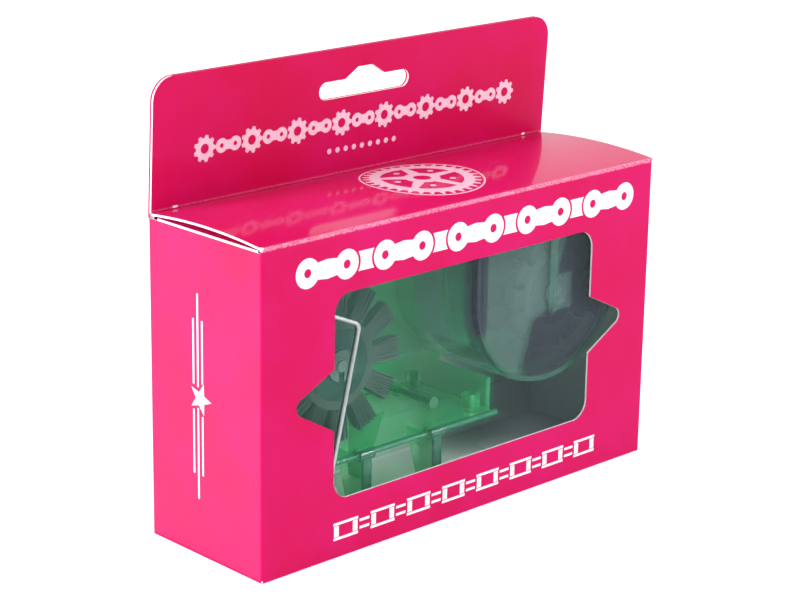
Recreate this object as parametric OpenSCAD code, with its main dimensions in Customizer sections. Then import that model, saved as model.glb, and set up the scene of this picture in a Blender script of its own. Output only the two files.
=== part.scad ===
// Hands-free bicycle chain cleaner in its windowed hanging carton.
// X runs along the carton's front, -Y faces the viewer, +Z is up.
// The origin is the middle of the carton's bottom.

/* [Carton] */
// Thickness of one ply of board
board_t = 0.6; // [0.4:0.05:0.8]
// Thickness of the clear window film
film_t = 0.2; // [0.1:0.05:0.3]
// Room between the drum cover and the film
film_room = 3.5; // [3:0.1:6]
// Room between each end of the cleaner and the carton's end
side_room = 6.5; // [4:0.5:12]
// Room between the cleaner's top and the carton's top edge
top_room = 4; // [3:0.5:12]
// Height of the hanging header above the carton's top edge
header_h = 34; // [30:1:45]
// Corner radius of the header
header_r = 6; // [2:0.5:10]
// Forward lean of the header
header_lean = 3; // [0:0.5:4]
// Rise of the bowed lid at its middle
lid_bow = 1.2; // [0.6:0.1:2]
// Length of the lid's tuck flap
tuck_len = 12; // [8:0.5:14]
// Inward slant of the tucked flap
tuck_slant = 5; // [4:0.5:8]
// Length of each dust flap
dust_len = 34; // [20:1:40]
// Gap left by a crease between two panels
crease_gap = 0.1; // [0.05:0.01:0.15]

/* [Window] */
// Width of the window without its two points
window_w = 93.4; // [80:0.2:100]
// Height of the window's lower edge
window_low = 15.5; // [12:0.5:20]
// Height of the window's upper edge
window_high = 69; // [64:0.5:71]
// Corner radius of the window
window_r = 5; // [2:0.5:8]
// Board left between each point's tip and the carton's end
point_margin = 11; // [8:0.5:16]
// Height of the points' tips
point_z = 42.5; // [40:0.5:45]
// Radius of the points' tips
point_r = 2.4; // [1:0.2:4]
// Height of the points' upper roots
point_root_high = 50; // [48:0.5:55]
// Height of the points' lower roots
point_root_low = 34; // [30:0.5:37]

/* [Hang slot] */
// Width of the hang slot
slot_w = 32; // [28:0.5:36]
// Height of the slot's two ends
slot_h = 4.8; // [4:0.2:7]
// Height of the slot's lower edge above the carton's top edge
slot_rise = 20.8; // [15:0.2:24]
// Extra height of the slot's raised middle
slot_peak = 2.8; // [1:0.2:4]
// Half width of the raised middle at its foot
slot_peak_half = 7; // [4:0.5:9]
// Half width of the raised middle at its top
slot_crown_half = 2.6; // [1:0.2:3.5]

/* [Cleaner case] */
// Wall thickness of the moulded case
wall_t = 1.5; // [1.2:0.1:2]
// Distance of the case's left end from the carton's middle
case_left = 62; // [60:0.5:66]
// Height of the deck's underside above the carton's bottom
deck_z = 22; // [20:0.5:23]
// Right end of the deck from the carton's middle
deck_right = 17; // [15:0.5:19]
// Height of the left chamber's roof
chamber_top = 76; // [72:0.5:78]
// Height of the drum's roof
case_top = 81; // [79:0.5:84]
// Depth of the case behind the chain's plane
case_back = 16; // [16:0.5:18]
// Depth of the case's front edge before the chain's plane
case_front = 13.2; // [13.2:0.1:14]
// Middle of the drum from the carton's middle
drum_x = 34.7; // [34:0.1:36]
// Height of the drum's middle
drum_z = 55.8; // [54:0.2:58]
// Outer radius of the drum
drum_r = 28.2; // [27.6:0.2:29]
// Depth of the drum cover before the chain's plane
cover_front = 17.2; // [16.8:0.1:18]
// Height of the slots that the chain runs through
chain_slot_h = 10; // [8:0.5:10.5]
// Height of the drum's chain slots over the carton's bottom
drum_slot_z = 31.5; // [31:0.5:33]
// Reach of the chain slots behind the chain's plane
chain_slot_back = 6; // [5:0.1:7]

/* [Feet and hinge] */
// Number of legs along the case
leg_n = 3; // [2:1:3]
// Spacing of the legs
leg_step = 25; // [22:0.5:26]
// Right-hand leg from the carton's middle
leg_right = -6; // [-8:0.5:-4]
// Thickness of each leg
leg_t = 2.8; // [2:0.1:3.2]
// Depth of each leg's gusset at the deck
gusset_d = 11; // [8:0.5:13]
// Depth of each foot
foot_d = 4; // [3:0.5:6]
// Radius of the hinge barrel
barrel_r = 1.8; // [1.6:0.1:2]
// Radius of the hinge rod
rod_r = 0.8; // [0.7:0.05:0.9]
// Length of each knuckle on the legs
knuckle_len = 5; // [4:0.5:8]

/* [Rotors] */
// Height of the driven rotor's axle
rotor_a_z = 46.5; // [46:0.1:47.5]
// Middle of the driven rotor from the carton's middle
rotor_a_x = -36.5; // [-37.5:0.1:-35]
// Reach of the driven rotor's bristles
rotor_a_r = 21; // [19:0.2:21.4]
// Middle of the drum rotor from the carton's middle
rotor_b_x = 42.5; // [41:0.1:43]
// Height of the drum rotor's axle
rotor_b_z = 50.5; // [50:0.1:52]
// Reach of the drum rotor's bristles
rotor_b_r = 16.4; // [15:0.2:16.6]
// Half length of a rotor's hub
hub_half = 12; // [11.6:0.1:12.1]
// Radius of a rotor's hub between its flanges
hub_r = 5.5; // [5:0.1:7]
// Radius of a rotor's flanges
flange_r = 9.5; // [9:0.1:10]
// Thickness of a bristle ring
ring_t = 3.4; // [3:0.1:4]
// Outer radius of a bristle ring
ring_r = 12; // [11.5:0.1:13]
// Radius of an axle
axle_r = 1.5; // [1.2:0.1:2]
// Number of bristle tufts in a ring
tuft_n = 12; // [8:1:12]
// Number of strands across a tuft
strand_n = 4; // [3:1:4]
// Width of a tuft at its root
tuft_w = 4.4; // [3:0.2:4.8]
// Width of one bristle strand
strand_w = 0.8; // [0.6:0.1:0.9]
// Spread of a tuft's strands at their tips
tuft_spread = 8; // [0:1:12]
// Diameter of the chain's rollers
chain_roller_d = 7.9; // [7.6:0.1:8.1]
// Thickness of the rotor's sprocket
sprocket_t = 2.2; // [1.8:0.1:2.3]

/* [Guide rollers] */
// Radius of a guide roller
roller_r = 2; // [1.8:0.1:2.2]
// Half length of a guide roller
roller_half = 6; // [5:0.5:7]
// Radius of a guide roller's pin
roller_pin_r = 0.9; // [0.7:0.1:1.1]
// First guide roller from the carton's middle
roller_in_x = -52; // [-53:0.5:-48]
// Second guide roller from the carton's middle
roller_out_x = 2; // [-4:0.5:4]

/* [Support arm] */
// Radius of the support arm's wire
wire_r = 0.7; // [0.5:0.05:0.8]
// Pivot of the arm from the carton's middle
arm_x = -46.3; // [-47:0.1:-45]
// Height of the arm's pivot
arm_z = 16.5; // [16:0.1:17]
// Reach of the arm's elbow to the right of its pivot
elbow_dx = 10.1; // [8:0.1:11]
// Height of the arm's elbow over its pivot
elbow_dz = 42.5; // [38:0.1:43]
// Reach of the arm's tip to the left of its pivot
tip_dx = 11.7; // [8:0.1:12]
// Height of the arm's tip over its pivot
tip_dz = 52; // [50:0.1:52]
// Length of the rubber sleeve on the arm's tip
sleeve_len = 10; // [6:0.5:14]
// Radius of the rubber sleeve
sleeve_r = 1.3; // [1.1:0.05:1.3]

/* [Hidden] */
$fn = 64;

// Facets of the wide, shallow arcs
arc_fn = 720;
// Overrun of every cut past the face it leaves by
cut = 1;
// Gap between pieces that stay apart
air = 0.3;
// Radial clearance of a running fit
run_fit = 0.08;
// Radial clearance of a fixed fit
fixed_fit = 0.02;

// Colours
board_colour = [0.89, 0.15, 0.42];
film_colour = [0.9, 0.95, 0.95, 0.25];
green_colour = [0.2, 0.6, 0.36, 0.6];
black_colour = [0.07, 0.08, 0.09];
steel_colour = [0.72, 0.74, 0.76];
foam_colour = [0.15, 0.2, 0.22];
white_colour = [0.8, 0.84, 0.82];

// Carton sizes that follow the cleaner inside
carton_w = 2 * (max(drum_x + drum_r, case_left) + side_room + board_t);
carton_d = 2 * (cover_front + film_room + film_t + board_t);
carton_h = case_top + top_room;
front_y = -carton_d / 2;
back_y = carton_d / 2;
end_x = carton_w / 2;
inner_x = end_x - board_t;
point_reach = end_x - point_margin;
lid_low = carton_h - board_t;
flap_top = lid_low - crease_gap;
flap_low = flap_top - board_t;
side_top = flap_low - crease_gap;
ply_front = back_y - 2 * board_t;
lid_back = ply_front - air;
tail_x = inner_x - air;
ply_tail = 12;
base_tail = 12;
film_margin = 6;
flap_front_room = 1.4;
flap_back_room = 2.5;
flap_taper_share = 0.33;
flap_back_taper = 8;
tuck_end_room = 3.5;
tuck_corner_r = 5;
lid_chord = lid_back - front_y;
lid_r = lid_chord * lid_chord / (8 * lid_bow) + lid_bow / 2;
slot_z = carton_h + slot_rise;

// Places of the case and its door
deck_top = deck_z + wall_t;
inner_back = case_back - wall_t;
door_back = -(case_front + air);
door_front = door_back - wall_t;
chamber_r = 8;
drum_top_r = 5;
cover_inset = 0.5;
cover_rib_x = 35.4;
cover_rib_w = 3;
cover_rib_t = 0.8;
cover_rib_low = 47;
cover_rib_high = 71;
rod_lead = 0.5;
hinge_y = door_front - rod_lead;
hinge_z = deck_z + rod_lead;
leg_lead = 1.5;
leg_front = hinge_y - leg_lead;
foot_z = 2 * board_t + air;
leg_xs = [for (i = [0 : leg_n - 1]) leg_right - i * leg_step];
snap_x = -35;
snap_w = 12;
snap_reach = 11;
snap_t = 1.5;
nub_w = 6;
nub_y = -10.5;
nub_d = 2;
nub_h = 2.3;
snap_play = 2.7;
lip_reach = 2.2;

// Screws that hold the shell on its tray
boss_r = 2.5;
boss_h = 3.6;
screw_r = 1.1;
screw_len = 4.8;
screw_head_r = 1.8;
screw_head_h = 1.2;
screw_slot_w = 0.7;
screw_slot_h = 0.5;
boss_bite = 0.1;
screw_places = [for (x = [-case_left + boss_r + boss_bite, deck_right - wall_t - boss_r + boss_bite],
    y = [-case_front + boss_r + wall_t / 2, inner_back - boss_r + boss_bite]) [x, y]];

// Axles and what sits on them
rotor_places = [[rotor_a_x, rotor_a_z], [rotor_b_x, rotor_b_z]];
roller_xs = [roller_in_x, roller_out_x];
axle_boss_r = 4;
washer_t = 0.4;
washer_r = 3.2;
washer_gap = 0.1;
axle_boss_front = hub_half + washer_t + 2 * washer_gap;
clip_t = 0.6;
clip_r = 4.2;
clip_gap = 1.8;
collar_r = 7.5;
collar_half = 2.5;
flange_in = hub_half - ring_t;
strand_root = 0.6;
strand_rows = 2;
roller_z = deck_top + 2 * air + roller_r;
roller_boss_r = 2;
roller_boss_front = roller_half + 2 * air;
roller_groove = 0.2;
roller_head_r = 1.6;
roller_head_t = 0.8;

// Wiper pad against the drum's left wall
sponge_t = 6.5;
sponge_low = 42.5;
sponge_high = 74;
sponge_front = -12;
sponge_depth = 7;
sponge_room = 0.15;

// Support arm and its lug under the deck
arm_room = 3.8;
arm_y = door_front - arm_room;
lug_half = 3;
lug_drop = 5;
lug_neck_drop = 2;
lug_high = deck_z - lug_neck_drop;
lug_room = 2.3;
lug_front = arm_y + lug_room;
lug_step = 0.2;
lug_neck = -case_front + lug_step;
lug_back = -8;
lug_boss_r = 2.4;
arm_pin_r = 1;
arm_pin_head_r = 2.3;
arm_pin_head_t = 0.6;
arm_pin_gap = 0.15;
eye_r = arm_pin_r + run_fit + wire_r;
elbow = [elbow_dx, elbow_dz];
tip = [-tip_dx, tip_dz];
bend_r = 2;
lower_angle = atan2(elbow.x, elbow.y);
upper_angle = atan2(tip.x - elbow.x, tip.y - elbow.y);
bend_turn = lower_angle - upper_angle;
bend_start = bend_r * tan(bend_turn / 2);
lower_along = [sin(lower_angle), cos(lower_angle)];
upper_along = [sin(upper_angle), cos(upper_angle)];
// Where the wire's bent and straight stretches meet
weld_points = [eye_r * lower_along, elbow - bend_start * lower_along, elbow + bend_start * upper_along];

// Sprocket that the chain turns
chain_pitch = 12.7;
tooth_n = 7;
tooth_h = 2.6;
flare_half = 6;
pitch_r = chain_pitch / (2 * sin(180 / tooth_n));
seat_r = chain_roller_d / 2;
tooth_tip_r = pitch_r + tooth_h;

// Height of the left wall's chain slot, under the driven rotor
chain_z = rotor_a_z - pitch_r;
slot_low = chain_z - chain_slot_h / 2 + air;

// Slab along Y of an outline drawn in X and Z
module y_slab(y0, y1) {
    translate([0, y1, 0]) rotate([90, 0, 0]) linear_extrude(y1 - y0) children();
}

// Slab along X of an outline drawn in Y and Z
module x_slab(x0, x1) {
    translate([x0, 0, 0]) rotate([90, 0, 90]) linear_extrude(x1 - x0) children();
}

// Round bar along Y
module y_bar(x, z, y0, y1, r) {
    translate([x, y0, z]) rotate([-90, 0, 0]) cylinder(r = r, h = y1 - y0);
}

// Round bar along X
module x_bar(y, z, x0, x1, r) {
    translate([x0, y, z]) rotate([0, 90, 0]) cylinder(r = r, h = x1 - x0);
}

// Block between two corners
module block(low, high) {
    translate(low) cube(high - low);
}

// Rectangle between two corners, rounded at its two upper corners
module round_top(x0, z0, x1, z1, r) {
    translate([x0, z0]) square([x1 - x0, z1 - z0 - r]);
    translate([x0 + r, z0]) square([x1 - x0 - 2 * r, z1 - z0]);
    for (x = [x0 + r, x1 - r]) translate([x, z1 - r]) circle(r);
}

// Rectangle between two corners, rounded all round
module round_rect(x0, z0, x1, z1, r) {
    translate([x0 + r, z0]) square([x1 - x0 - 2 * r, z1 - z0]);
    translate([x0, z0 + r]) square([x1 - x0, z1 - z0 - 2 * r]);
    for (x = [x0 + r, x1 - r], z = [z0 + r, z1 - r]) translate([x, z]) circle(r);
}

// Plan of a front or back panel, rounded where it folds into the ends
module panel_plan() {
    translate([-inner_x, front_y]) square([2 * inner_x, board_t]);
    for (x = [-inner_x, inner_x]) intersection() {
        translate([x, front_y + board_t]) circle(board_t);
        translate([x - board_t, front_y]) square([2 * board_t, board_t]);
    }
}

// Where a line from a corner touches the tip circle: side is 1 above it and -1 below it
function tip_touch(corner, side) = let (
    centre = [point_reach - point_r, point_z],
    gap = corner - centre,
    angle = atan2(gap.y, gap.x) - side * acos(point_r / norm(gap))
) centre + point_r * [cos(angle), sin(angle)];

// One pointed side of the window
module window_point() {
    high = [window_w / 2, point_root_high];
    low = [window_w / 2, point_root_low];
    inside = window_w / 2 - window_r;
    polygon([[inside, point_root_high], high, tip_touch(high, 1), [point_reach - point_r, point_z],
        tip_touch(low, -1), low, [inside, point_root_low]]);
    translate([point_reach - point_r, point_z]) circle(point_r);
}

module window_outline() {
    round_rect(-window_w / 2, window_low, window_w / 2, window_high, window_r);
    window_point();
    mirror([1, 0]) window_point();
}

module hang_slot_outline() {
    end = slot_w / 2 - slot_h / 2;
    translate([-end, slot_z]) square([2 * end, slot_h]);
    for (x = [-end, end]) translate([x, slot_z + slot_h / 2]) circle(slot_h / 2);
    polygon([[-slot_peak_half, slot_z + slot_h], [-slot_crown_half, slot_z + slot_h + slot_peak],
        [slot_crown_half, slot_z + slot_h + slot_peak], [slot_peak_half, slot_z + slot_h],
        [slot_peak_half, slot_z], [-slot_peak_half, slot_z]]);
}

// One leaning ply of the header between two depths
module header(y0, y1) {
    translate([0, back_y, carton_h]) rotate([header_lean, 0, 0]) translate([0, -back_y, -carton_h])
        y_slab(y0, y1) difference() {
            round_top(-end_x, carton_h, end_x, carton_h + header_h, header_r);
            hang_slot_outline();
        }
}

module front_panel() {
    color(board_colour) difference() {
        translate([0, 0, board_t]) linear_extrude(flap_top - board_t) panel_plan();
        y_slab(front_y - cut, front_y + board_t + cut) window_outline();
    }
}

module back_panel() {
    color(board_colour) {
        translate([0, 0, board_t]) linear_extrude(side_top - board_t) mirror([0, 1]) panel_plan();
        block([-end_x, back_y - board_t, side_top], [end_x, back_y, carton_h]);
        header(back_y - board_t, back_y);
    }
}

module left_panel() {
    color(board_colour) block([-end_x, front_y + board_t, board_t], [-inner_x, back_y - board_t, side_top]);
}

module right_panel() {
    color(board_colour) mirror([1, 0, 0])
        block([-end_x, front_y + board_t, board_t], [-inner_x, back_y - board_t, side_top]);
}

module header_ply() {
    color(board_colour) {
        header(ply_front, back_y - board_t);
        block([-tail_x, ply_front, carton_h - ply_tail], [tail_x, back_y - board_t, carton_h]);
    }
}

module base_panel() {
    color(board_colour) {
        linear_extrude(board_t) round_rect(-end_x, front_y, end_x, back_y, board_t);
        block([-tail_x, ply_front, board_t], [tail_x, back_y - board_t, board_t + base_tail]);
    }
}

// Outline of one end flap from its crease, tapered towards its free edge
module flap_outline(root_x) {
    y0 = front_y + flap_front_room;
    y1 = ply_front - flap_back_room;
    polygon([[root_x, y0], [root_x + dust_len, y0 + flap_taper_share * dust_len],
        [root_x + dust_len, y1 - flap_back_taper], [root_x + flap_back_taper, y1], [root_x, y1]]);
}

module base_flaps() {
    color(board_colour) for (side = [0, 1]) mirror([side, 0, 0])
        translate([0, 0, board_t]) linear_extrude(board_t) flap_outline(-inner_x);
}

module window_film() {
    half = point_reach + film_margin;
    color(film_colour) y_slab(front_y + board_t, front_y + board_t + film_t)
        translate([-half, window_low - film_margin])
            square([2 * half, window_high - window_low + 2 * film_margin]);
}

module lid_panel() {
    color(board_colour) x_slab(-end_x, end_x) intersection() {
        translate([front_y + lid_chord / 2, carton_h + lid_bow - lid_r]) difference() {
            circle(lid_r, $fn = arc_fn);
            circle(lid_r - board_t, $fn = arc_fn);
        }
        translate([front_y, lid_low - cut]) square([lid_chord, 2 * cut + lid_bow]);
    }
}

module tuck_flap() {
    half = tail_x - tuck_end_room;
    color(board_colour) translate([0, lid_back - board_t, lid_low]) rotate([-tuck_slant, 0, 0])
        y_slab(0, board_t) mirror([0, 1]) round_top(-half, crease_gap, half, tuck_len, tuck_corner_r);
}

module dust_flap_left() {
    color(board_colour) translate([0, 0, flap_low]) linear_extrude(board_t) flap_outline(-end_x);
}

module dust_flap_right() {
    color(board_colour) mirror([1, 0, 0])
        translate([0, 0, flap_low]) linear_extrude(board_t) flap_outline(-end_x);
}

// Left chamber's outline, drawn in by an inset at its left, top and right
module chamber_outline(inset, low) {
    x0 = -case_left + inset;
    z1 = chamber_top - inset;
    r = chamber_r - inset;
    translate([x0 + r, low]) square([deck_right - inset - x0 - r, z1 - low]);
    translate([x0, low]) square([2 * r, z1 - r - low]);
    translate([x0 + r, z1 - r]) circle(r);
}

// Outline of the U-shaped drum, drawn in by an inset all round
module drum_outline(inset) {
    r = drum_r - inset;
    intersection() {
        translate([drum_x, drum_z]) circle(r);
        translate([drum_x - r, drum_z - r]) square([2 * r, r + cut]);
    }
    round_top(drum_x - r, drum_z, drum_x + r, case_top - inset, drum_top_r - inset);
}

module case_shell() {
    color(green_colour) difference() {
        union() {
            difference() {
                y_slab(-case_front, case_back) {
                    chamber_outline(0, deck_top);
                    drum_outline(0);
                }
                y_slab(-case_front - cut, inner_back) difference() {
                    chamber_outline(wall_t, deck_top - cut);
                    drum_outline(0);
                }
                y_slab(-case_front - cut, inner_back) drum_outline(wall_t);
            }
            for (p = rotor_places) y_bar(p.x, p.y, axle_boss_front, case_back, axle_boss_r);
            for (x = roller_xs) y_bar(x, roller_z, roller_boss_front, case_back, roller_boss_r);
            for (p = screw_places) translate([p.x, p.y, deck_top]) cylinder(r = boss_r, h = boss_h);
            block([snap_x - nub_w / 2, nub_y, chamber_top - wall_t / 2],
                [snap_x + nub_w / 2, nub_y + nub_d, chamber_top + nub_h]);
        }
        for (p = rotor_places) y_bar(p.x, p.y, -cut, case_back + cut, axle_r + fixed_fit);
        for (x = roller_xs) y_bar(x, roller_z, -cut, case_back + cut, roller_pin_r + fixed_fit);
        for (p = screw_places) translate([p.x, p.y, deck_top - cut])
            cylinder(r = screw_r + fixed_fit, h = screw_len + cut - wall_t + air);
        block([-case_left - cut, -case_front - cut, slot_low],
            [-case_left + wall_t + cut, chain_slot_back, slot_low + chain_slot_h]);
        block([drum_x - drum_r - cut, -case_front - cut, drum_slot_z],
            [drum_x + drum_r + cut, chain_slot_back, drum_slot_z + chain_slot_h]);
    }
}

// Outline of a front leg with its gusset, in Y and Z
module front_leg_outline() {
    polygon([[leg_front, hinge_z], [leg_front, foot_z], [leg_front + foot_d, foot_z],
        [leg_front + gusset_d, deck_z], [leg_front + gusset_d, deck_top], [-case_front, deck_top],
        [hinge_y, hinge_z]]);
}

// Outline of a rear leg with its gusset, in Y and Z
module rear_leg_outline() {
    polygon([[case_back, deck_top], [case_back, foot_z], [case_back - foot_d, foot_z],
        [case_back - gusset_d, deck_z], [case_back - gusset_d, deck_top]]);
}

// Lug under the deck that carries the support arm
module arm_lug() {
    x_slab(arm_x - lug_half, arm_x + lug_half)
        polygon([[lug_front, arm_z - lug_drop], [lug_front, lug_high], [lug_neck, lug_high],
            [lug_neck, deck_top], [lug_back, deck_top], [lug_back, lug_high], [lug_neck, arm_z - lug_drop]]);
    y_bar(arm_x, arm_z, arm_y + wire_r + air, lug_front + air, lug_boss_r);
}

module case_tray() {
    color(green_colour) difference() {
        union() {
            block([-case_left, -case_front, deck_z], [deck_right, case_back, deck_top]);
            for (x = leg_xs) {
                x_slab(x - leg_t / 2, x + leg_t / 2) front_leg_outline();
                x_slab(x - leg_t / 2, x + leg_t / 2) rear_leg_outline();
                x_bar(hinge_y, hinge_z, x - knuckle_len / 2, x + knuckle_len / 2, barrel_r);
            }
            arm_lug();
        }
        x_bar(hinge_y, hinge_z, -case_left - cut, deck_right + knuckle_len, rod_r + fixed_fit);
        for (p = screw_places) translate([p.x, p.y, deck_z - cut])
            cylinder(r = screw_r + fixed_fit, h = wall_t + 2 * cut);
        y_bar(arm_x, arm_z, arm_y, lug_back + cut, arm_pin_r + fixed_fit);
    }
}

module case_screws() {
    color(steel_colour) for (p = screw_places) translate([p.x, p.y, deck_z]) difference() {
        union() {
            cylinder(r = screw_r, h = screw_len);
            translate([0, 0, -screw_head_h]) cylinder(r = screw_head_r, h = screw_head_h);
        }
        for (turn = [0, 90]) rotate(turn)
            translate([-screw_head_r / 2, -screw_slot_w / 2, -screw_head_h - cut])
                cube([screw_head_r, screw_slot_w, screw_slot_h + cut]);
    }
}

module hinge_rod() {
    color(green_colour) x_bar(hinge_y, hinge_z, leg_xs[leg_n - 1] - knuckle_len / 2, deck_right, rod_r);
}

module axle_pins() {
    color(steel_colour) for (p = rotor_places) y_bar(p.x, p.y, -case_front, case_back, axle_r);
}

// Spring clip that keeps a rotor on its axle
module axle_clip(x, z) {
    y0 = -hub_half - air - clip_t;
    difference() {
        y_bar(x, z, y0, y0 + clip_t, clip_r);
        y_bar(x, z, y0 - cut, y0 + clip_t + cut, axle_r + fixed_fit);
        block([x - clip_gap / 2, y0 - cut, z - clip_r - cut], [x + clip_gap / 2, y0 + clip_t + cut, z]);
    }
}

module axle_clips() {
    color(steel_colour) for (p = rotor_places) axle_clip(p.x, p.y);
}

module axle_washer(x, z) {
    y0 = hub_half + washer_gap;
    difference() {
        y_bar(x, z, y0, y0 + washer_t, washer_r);
        y_bar(x, z, y0 - cut, y0 + washer_t + cut, axle_r + fixed_fit);
    }
}

module axle_washers() {
    color(white_colour) for (p = rotor_places) axle_washer(p.x, p.y);
}

module roller_pins() {
    color(steel_colour) for (x = roller_xs) {
        y_bar(x, roller_z, -roller_half - air, case_back, roller_pin_r);
        y_bar(x, roller_z, -roller_half - air - roller_head_t, -roller_half - air, roller_head_r);
    }
}

module wiper_sponge() {
    x0 = drum_x - drum_r + wall_t;
    color(foam_colour) y_slab(sponge_front, sponge_front + sponge_depth) intersection() {
        drum_outline(wall_t + sponge_room);
        translate([x0, sponge_low]) square([sponge_t, sponge_high - sponge_low]);
    }
}

module arm_pivot_pin() {
    head_y = arm_y - wire_r - arm_pin_gap;
    color(steel_colour) {
        y_bar(arm_x, arm_z, head_y, lug_back, arm_pin_r);
        y_bar(arm_x, arm_z, head_y - arm_pin_head_t, head_y, arm_pin_head_r);
    }
}

// Barrels of the door to the right of each of the tray's knuckles
module door_barrels() {
    reach = knuckle_len / 2 + air;
    for (i = [0 : leg_n - 1])
        x_bar(hinge_y, hinge_z, leg_xs[i] + reach, i == 0 ? deck_right : leg_xs[i - 1] - reach, barrel_r);
}

// Snap tab whose eye holds the door over the case's nub
module snap_tab() {
    x0 = snap_x - snap_w / 2;
    x1 = snap_x + snap_w / 2;
    z0 = chamber_top + air;
    z1 = z0 + snap_t;
    difference() {
        union() {
            block([x0, door_front, chamber_top - wall_t], [x1, door_back, z1]);
            block([x0, door_front - lip_reach, z0], [x1, door_front + snap_reach, z1]);
        }
        block([snap_x - nub_w / 2 - air, nub_y - air, z0 - cut],
            [snap_x + nub_w / 2 + air, nub_y + nub_d + snap_play, z1 + cut]);
    }
}

module front_door() {
    color(green_colour) difference() {
        union() {
            y_slab(door_front, door_back) {
                chamber_outline(0, hinge_z);
                drum_outline(0);
            }
            y_slab(-cover_front, door_back) drum_outline(cover_inset);
            block([cover_rib_x - cover_rib_w / 2, -cover_front - cover_rib_t, cover_rib_low],
                [cover_rib_x + cover_rib_w / 2, -cover_front + wall_t / 2, cover_rib_high]);
            door_barrels();
            snap_tab();
        }
        y_slab(-cover_front + wall_t, door_back + cut) drum_outline(cover_inset + wall_t);
        for (x = leg_xs) block([x - knuckle_len / 2 - air, door_front - cut, hinge_z - cut],
            [x + knuckle_len / 2 + air, door_back + cut, hinge_z + barrel_r + air]);
        x_bar(hinge_y, hinge_z, -case_left - cut, deck_right + cut, rod_r + run_fit);
    }
}

// Outline of the toothed wheel, drawn round its axle
module sprocket_outline() {
    difference() {
        circle(tooth_tip_r);
        for (i = [0 : tooth_n - 1]) rotate((i + 1 / 2) * 360 / tooth_n) {
            translate([pitch_r, 0]) circle(seat_r);
            polygon([[pitch_r, -seat_r], [tooth_tip_r + cut, -flare_half], [tooth_tip_r + cut, flare_half],
                [pitch_r, seat_r]]);
        }
    }
}

// Hub with two flanges that carry the bristle rings
module rotor_core(x, z) {
    difference() {
        union() {
            y_bar(x, z, -hub_half, hub_half, hub_r);
            y_bar(x, z, -hub_half, -flange_in, flange_r);
            y_bar(x, z, flange_in, hub_half, flange_r);
            children();
        }
        y_bar(x, z, -hub_half - cut, hub_half + cut, axle_r + run_fit);
    }
}

module rotor_a_core() {
    color(green_colour) rotor_core(rotor_a_x, rotor_a_z)
        y_slab(-sprocket_t / 2, sprocket_t / 2) translate([rotor_a_x, rotor_a_z]) sprocket_outline();
}

module rotor_b_core() {
    color(green_colour) rotor_core(rotor_b_x, rotor_b_z)
        y_bar(rotor_b_x, rotor_b_z, -collar_half, collar_half, collar_r);
}

// Flat tuft of strands that fan out from the ring, along +Z
module tuft(reach) {
    start = ring_r - strand_root;
    step = tuft_w / (strand_n - 1);
    for (i = [0 : strand_n - 1], row = [0 : strand_rows - 1]) {
        share = i / (strand_n - 1) - 1 / 2;
        translate([share * tuft_w, (row + 1 / 2) * ring_t / strand_rows, start])
            rotate([0, share * tuft_spread, 0])
                translate([-strand_w / 2, -strand_w / 2, 0]) cube([strand_w, strand_w, reach - start]);
    }
}

// Ring of tufts round an axle, from one depth towards +Y
module bristle_ring(x, z, y0, reach) {
    difference() {
        union() {
            y_bar(x, z, y0, y0 + ring_t, ring_r);
            translate([x, y0, z]) for (i = [0 : tuft_n - 1]) rotate([0, i * 360 / tuft_n, 0]) tuft(reach);
        }
        y_bar(x, z, y0 - cut, y0 + ring_t + cut, flange_r + fixed_fit);
    }
}

module rotor_a_bristles_front() {
    color(black_colour) bristle_ring(rotor_a_x, rotor_a_z, -hub_half, rotor_a_r);
}

module rotor_a_bristles_rear() {
    color(black_colour) bristle_ring(rotor_a_x, rotor_a_z, flange_in, rotor_a_r);
}

module rotor_b_bristles_front() {
    color(black_colour) bristle_ring(rotor_b_x, rotor_b_z, -hub_half, rotor_b_r);
}

module rotor_b_bristles_rear() {
    color(black_colour) bristle_ring(rotor_b_x, rotor_b_z, flange_in, rotor_b_r);
}

// Grooved roller that the chain runs over
module guide_roller(x) {
    difference() {
        y_bar(x, roller_z, -roller_half, roller_half, roller_r);
        difference() {
            y_bar(x, roller_z, -roller_half / 2, roller_half / 2, roller_r + cut);
            y_bar(x, roller_z, -roller_half, roller_half, roller_r - roller_groove);
        }
        y_bar(x, roller_z, -roller_half - cut, roller_half + cut, roller_pin_r + run_fit);
    }
}

module guide_roller_in() {
    color(green_colour) guide_roller(roller_in_x);
}

module guide_roller_out() {
    color(green_colour) guide_roller(roller_out_x);
}

// Straight run between two points of the arm, from one distance to another along it
module arm_run(from, to, start, end, r) {
    d = to - from;
    translate([from.x, 0, from.y]) rotate([0, atan2(d.x, d.y), 0]) translate([0, 0, start])
        cylinder(r = r, h = end - start);
}

// Bend that joins the arm's two runs at the elbow
module arm_bend() {
    centre = elbow - bend_start * lower_along + bend_r * [-lower_along.y, lower_along.x];
    translate([centre.x, 0, centre.y]) rotate([90, 0, 0]) rotate(-lower_angle)
        rotate_extrude(angle = bend_turn) translate([bend_r, 0]) circle(wire_r);
}

module support_arm() {
    color(steel_colour) translate([arm_x, arm_y, arm_z]) {
        rotate([90, 0, 0]) rotate_extrude() translate([eye_r, 0]) circle(wire_r);
        arm_run([0, 0], elbow, eye_r, norm(elbow) - bend_start, wire_r);
        arm_bend();
        arm_run(elbow, tip, bend_start, norm(tip - elbow), wire_r);
        for (p = weld_points) translate([p.x, 0, p.y]) sphere(wire_r + fixed_fit);
    }
}

module arm_sleeve() {
    length = norm(tip - elbow);
    color(black_colour) translate([arm_x, arm_y, arm_z]) difference() {
        arm_run(elbow, tip, length - sleeve_len, length + wire_r, sleeve_r);
        arm_run(elbow, tip, length - sleeve_len - cut, length, wire_r + fixed_fit);
    }
}

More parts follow.
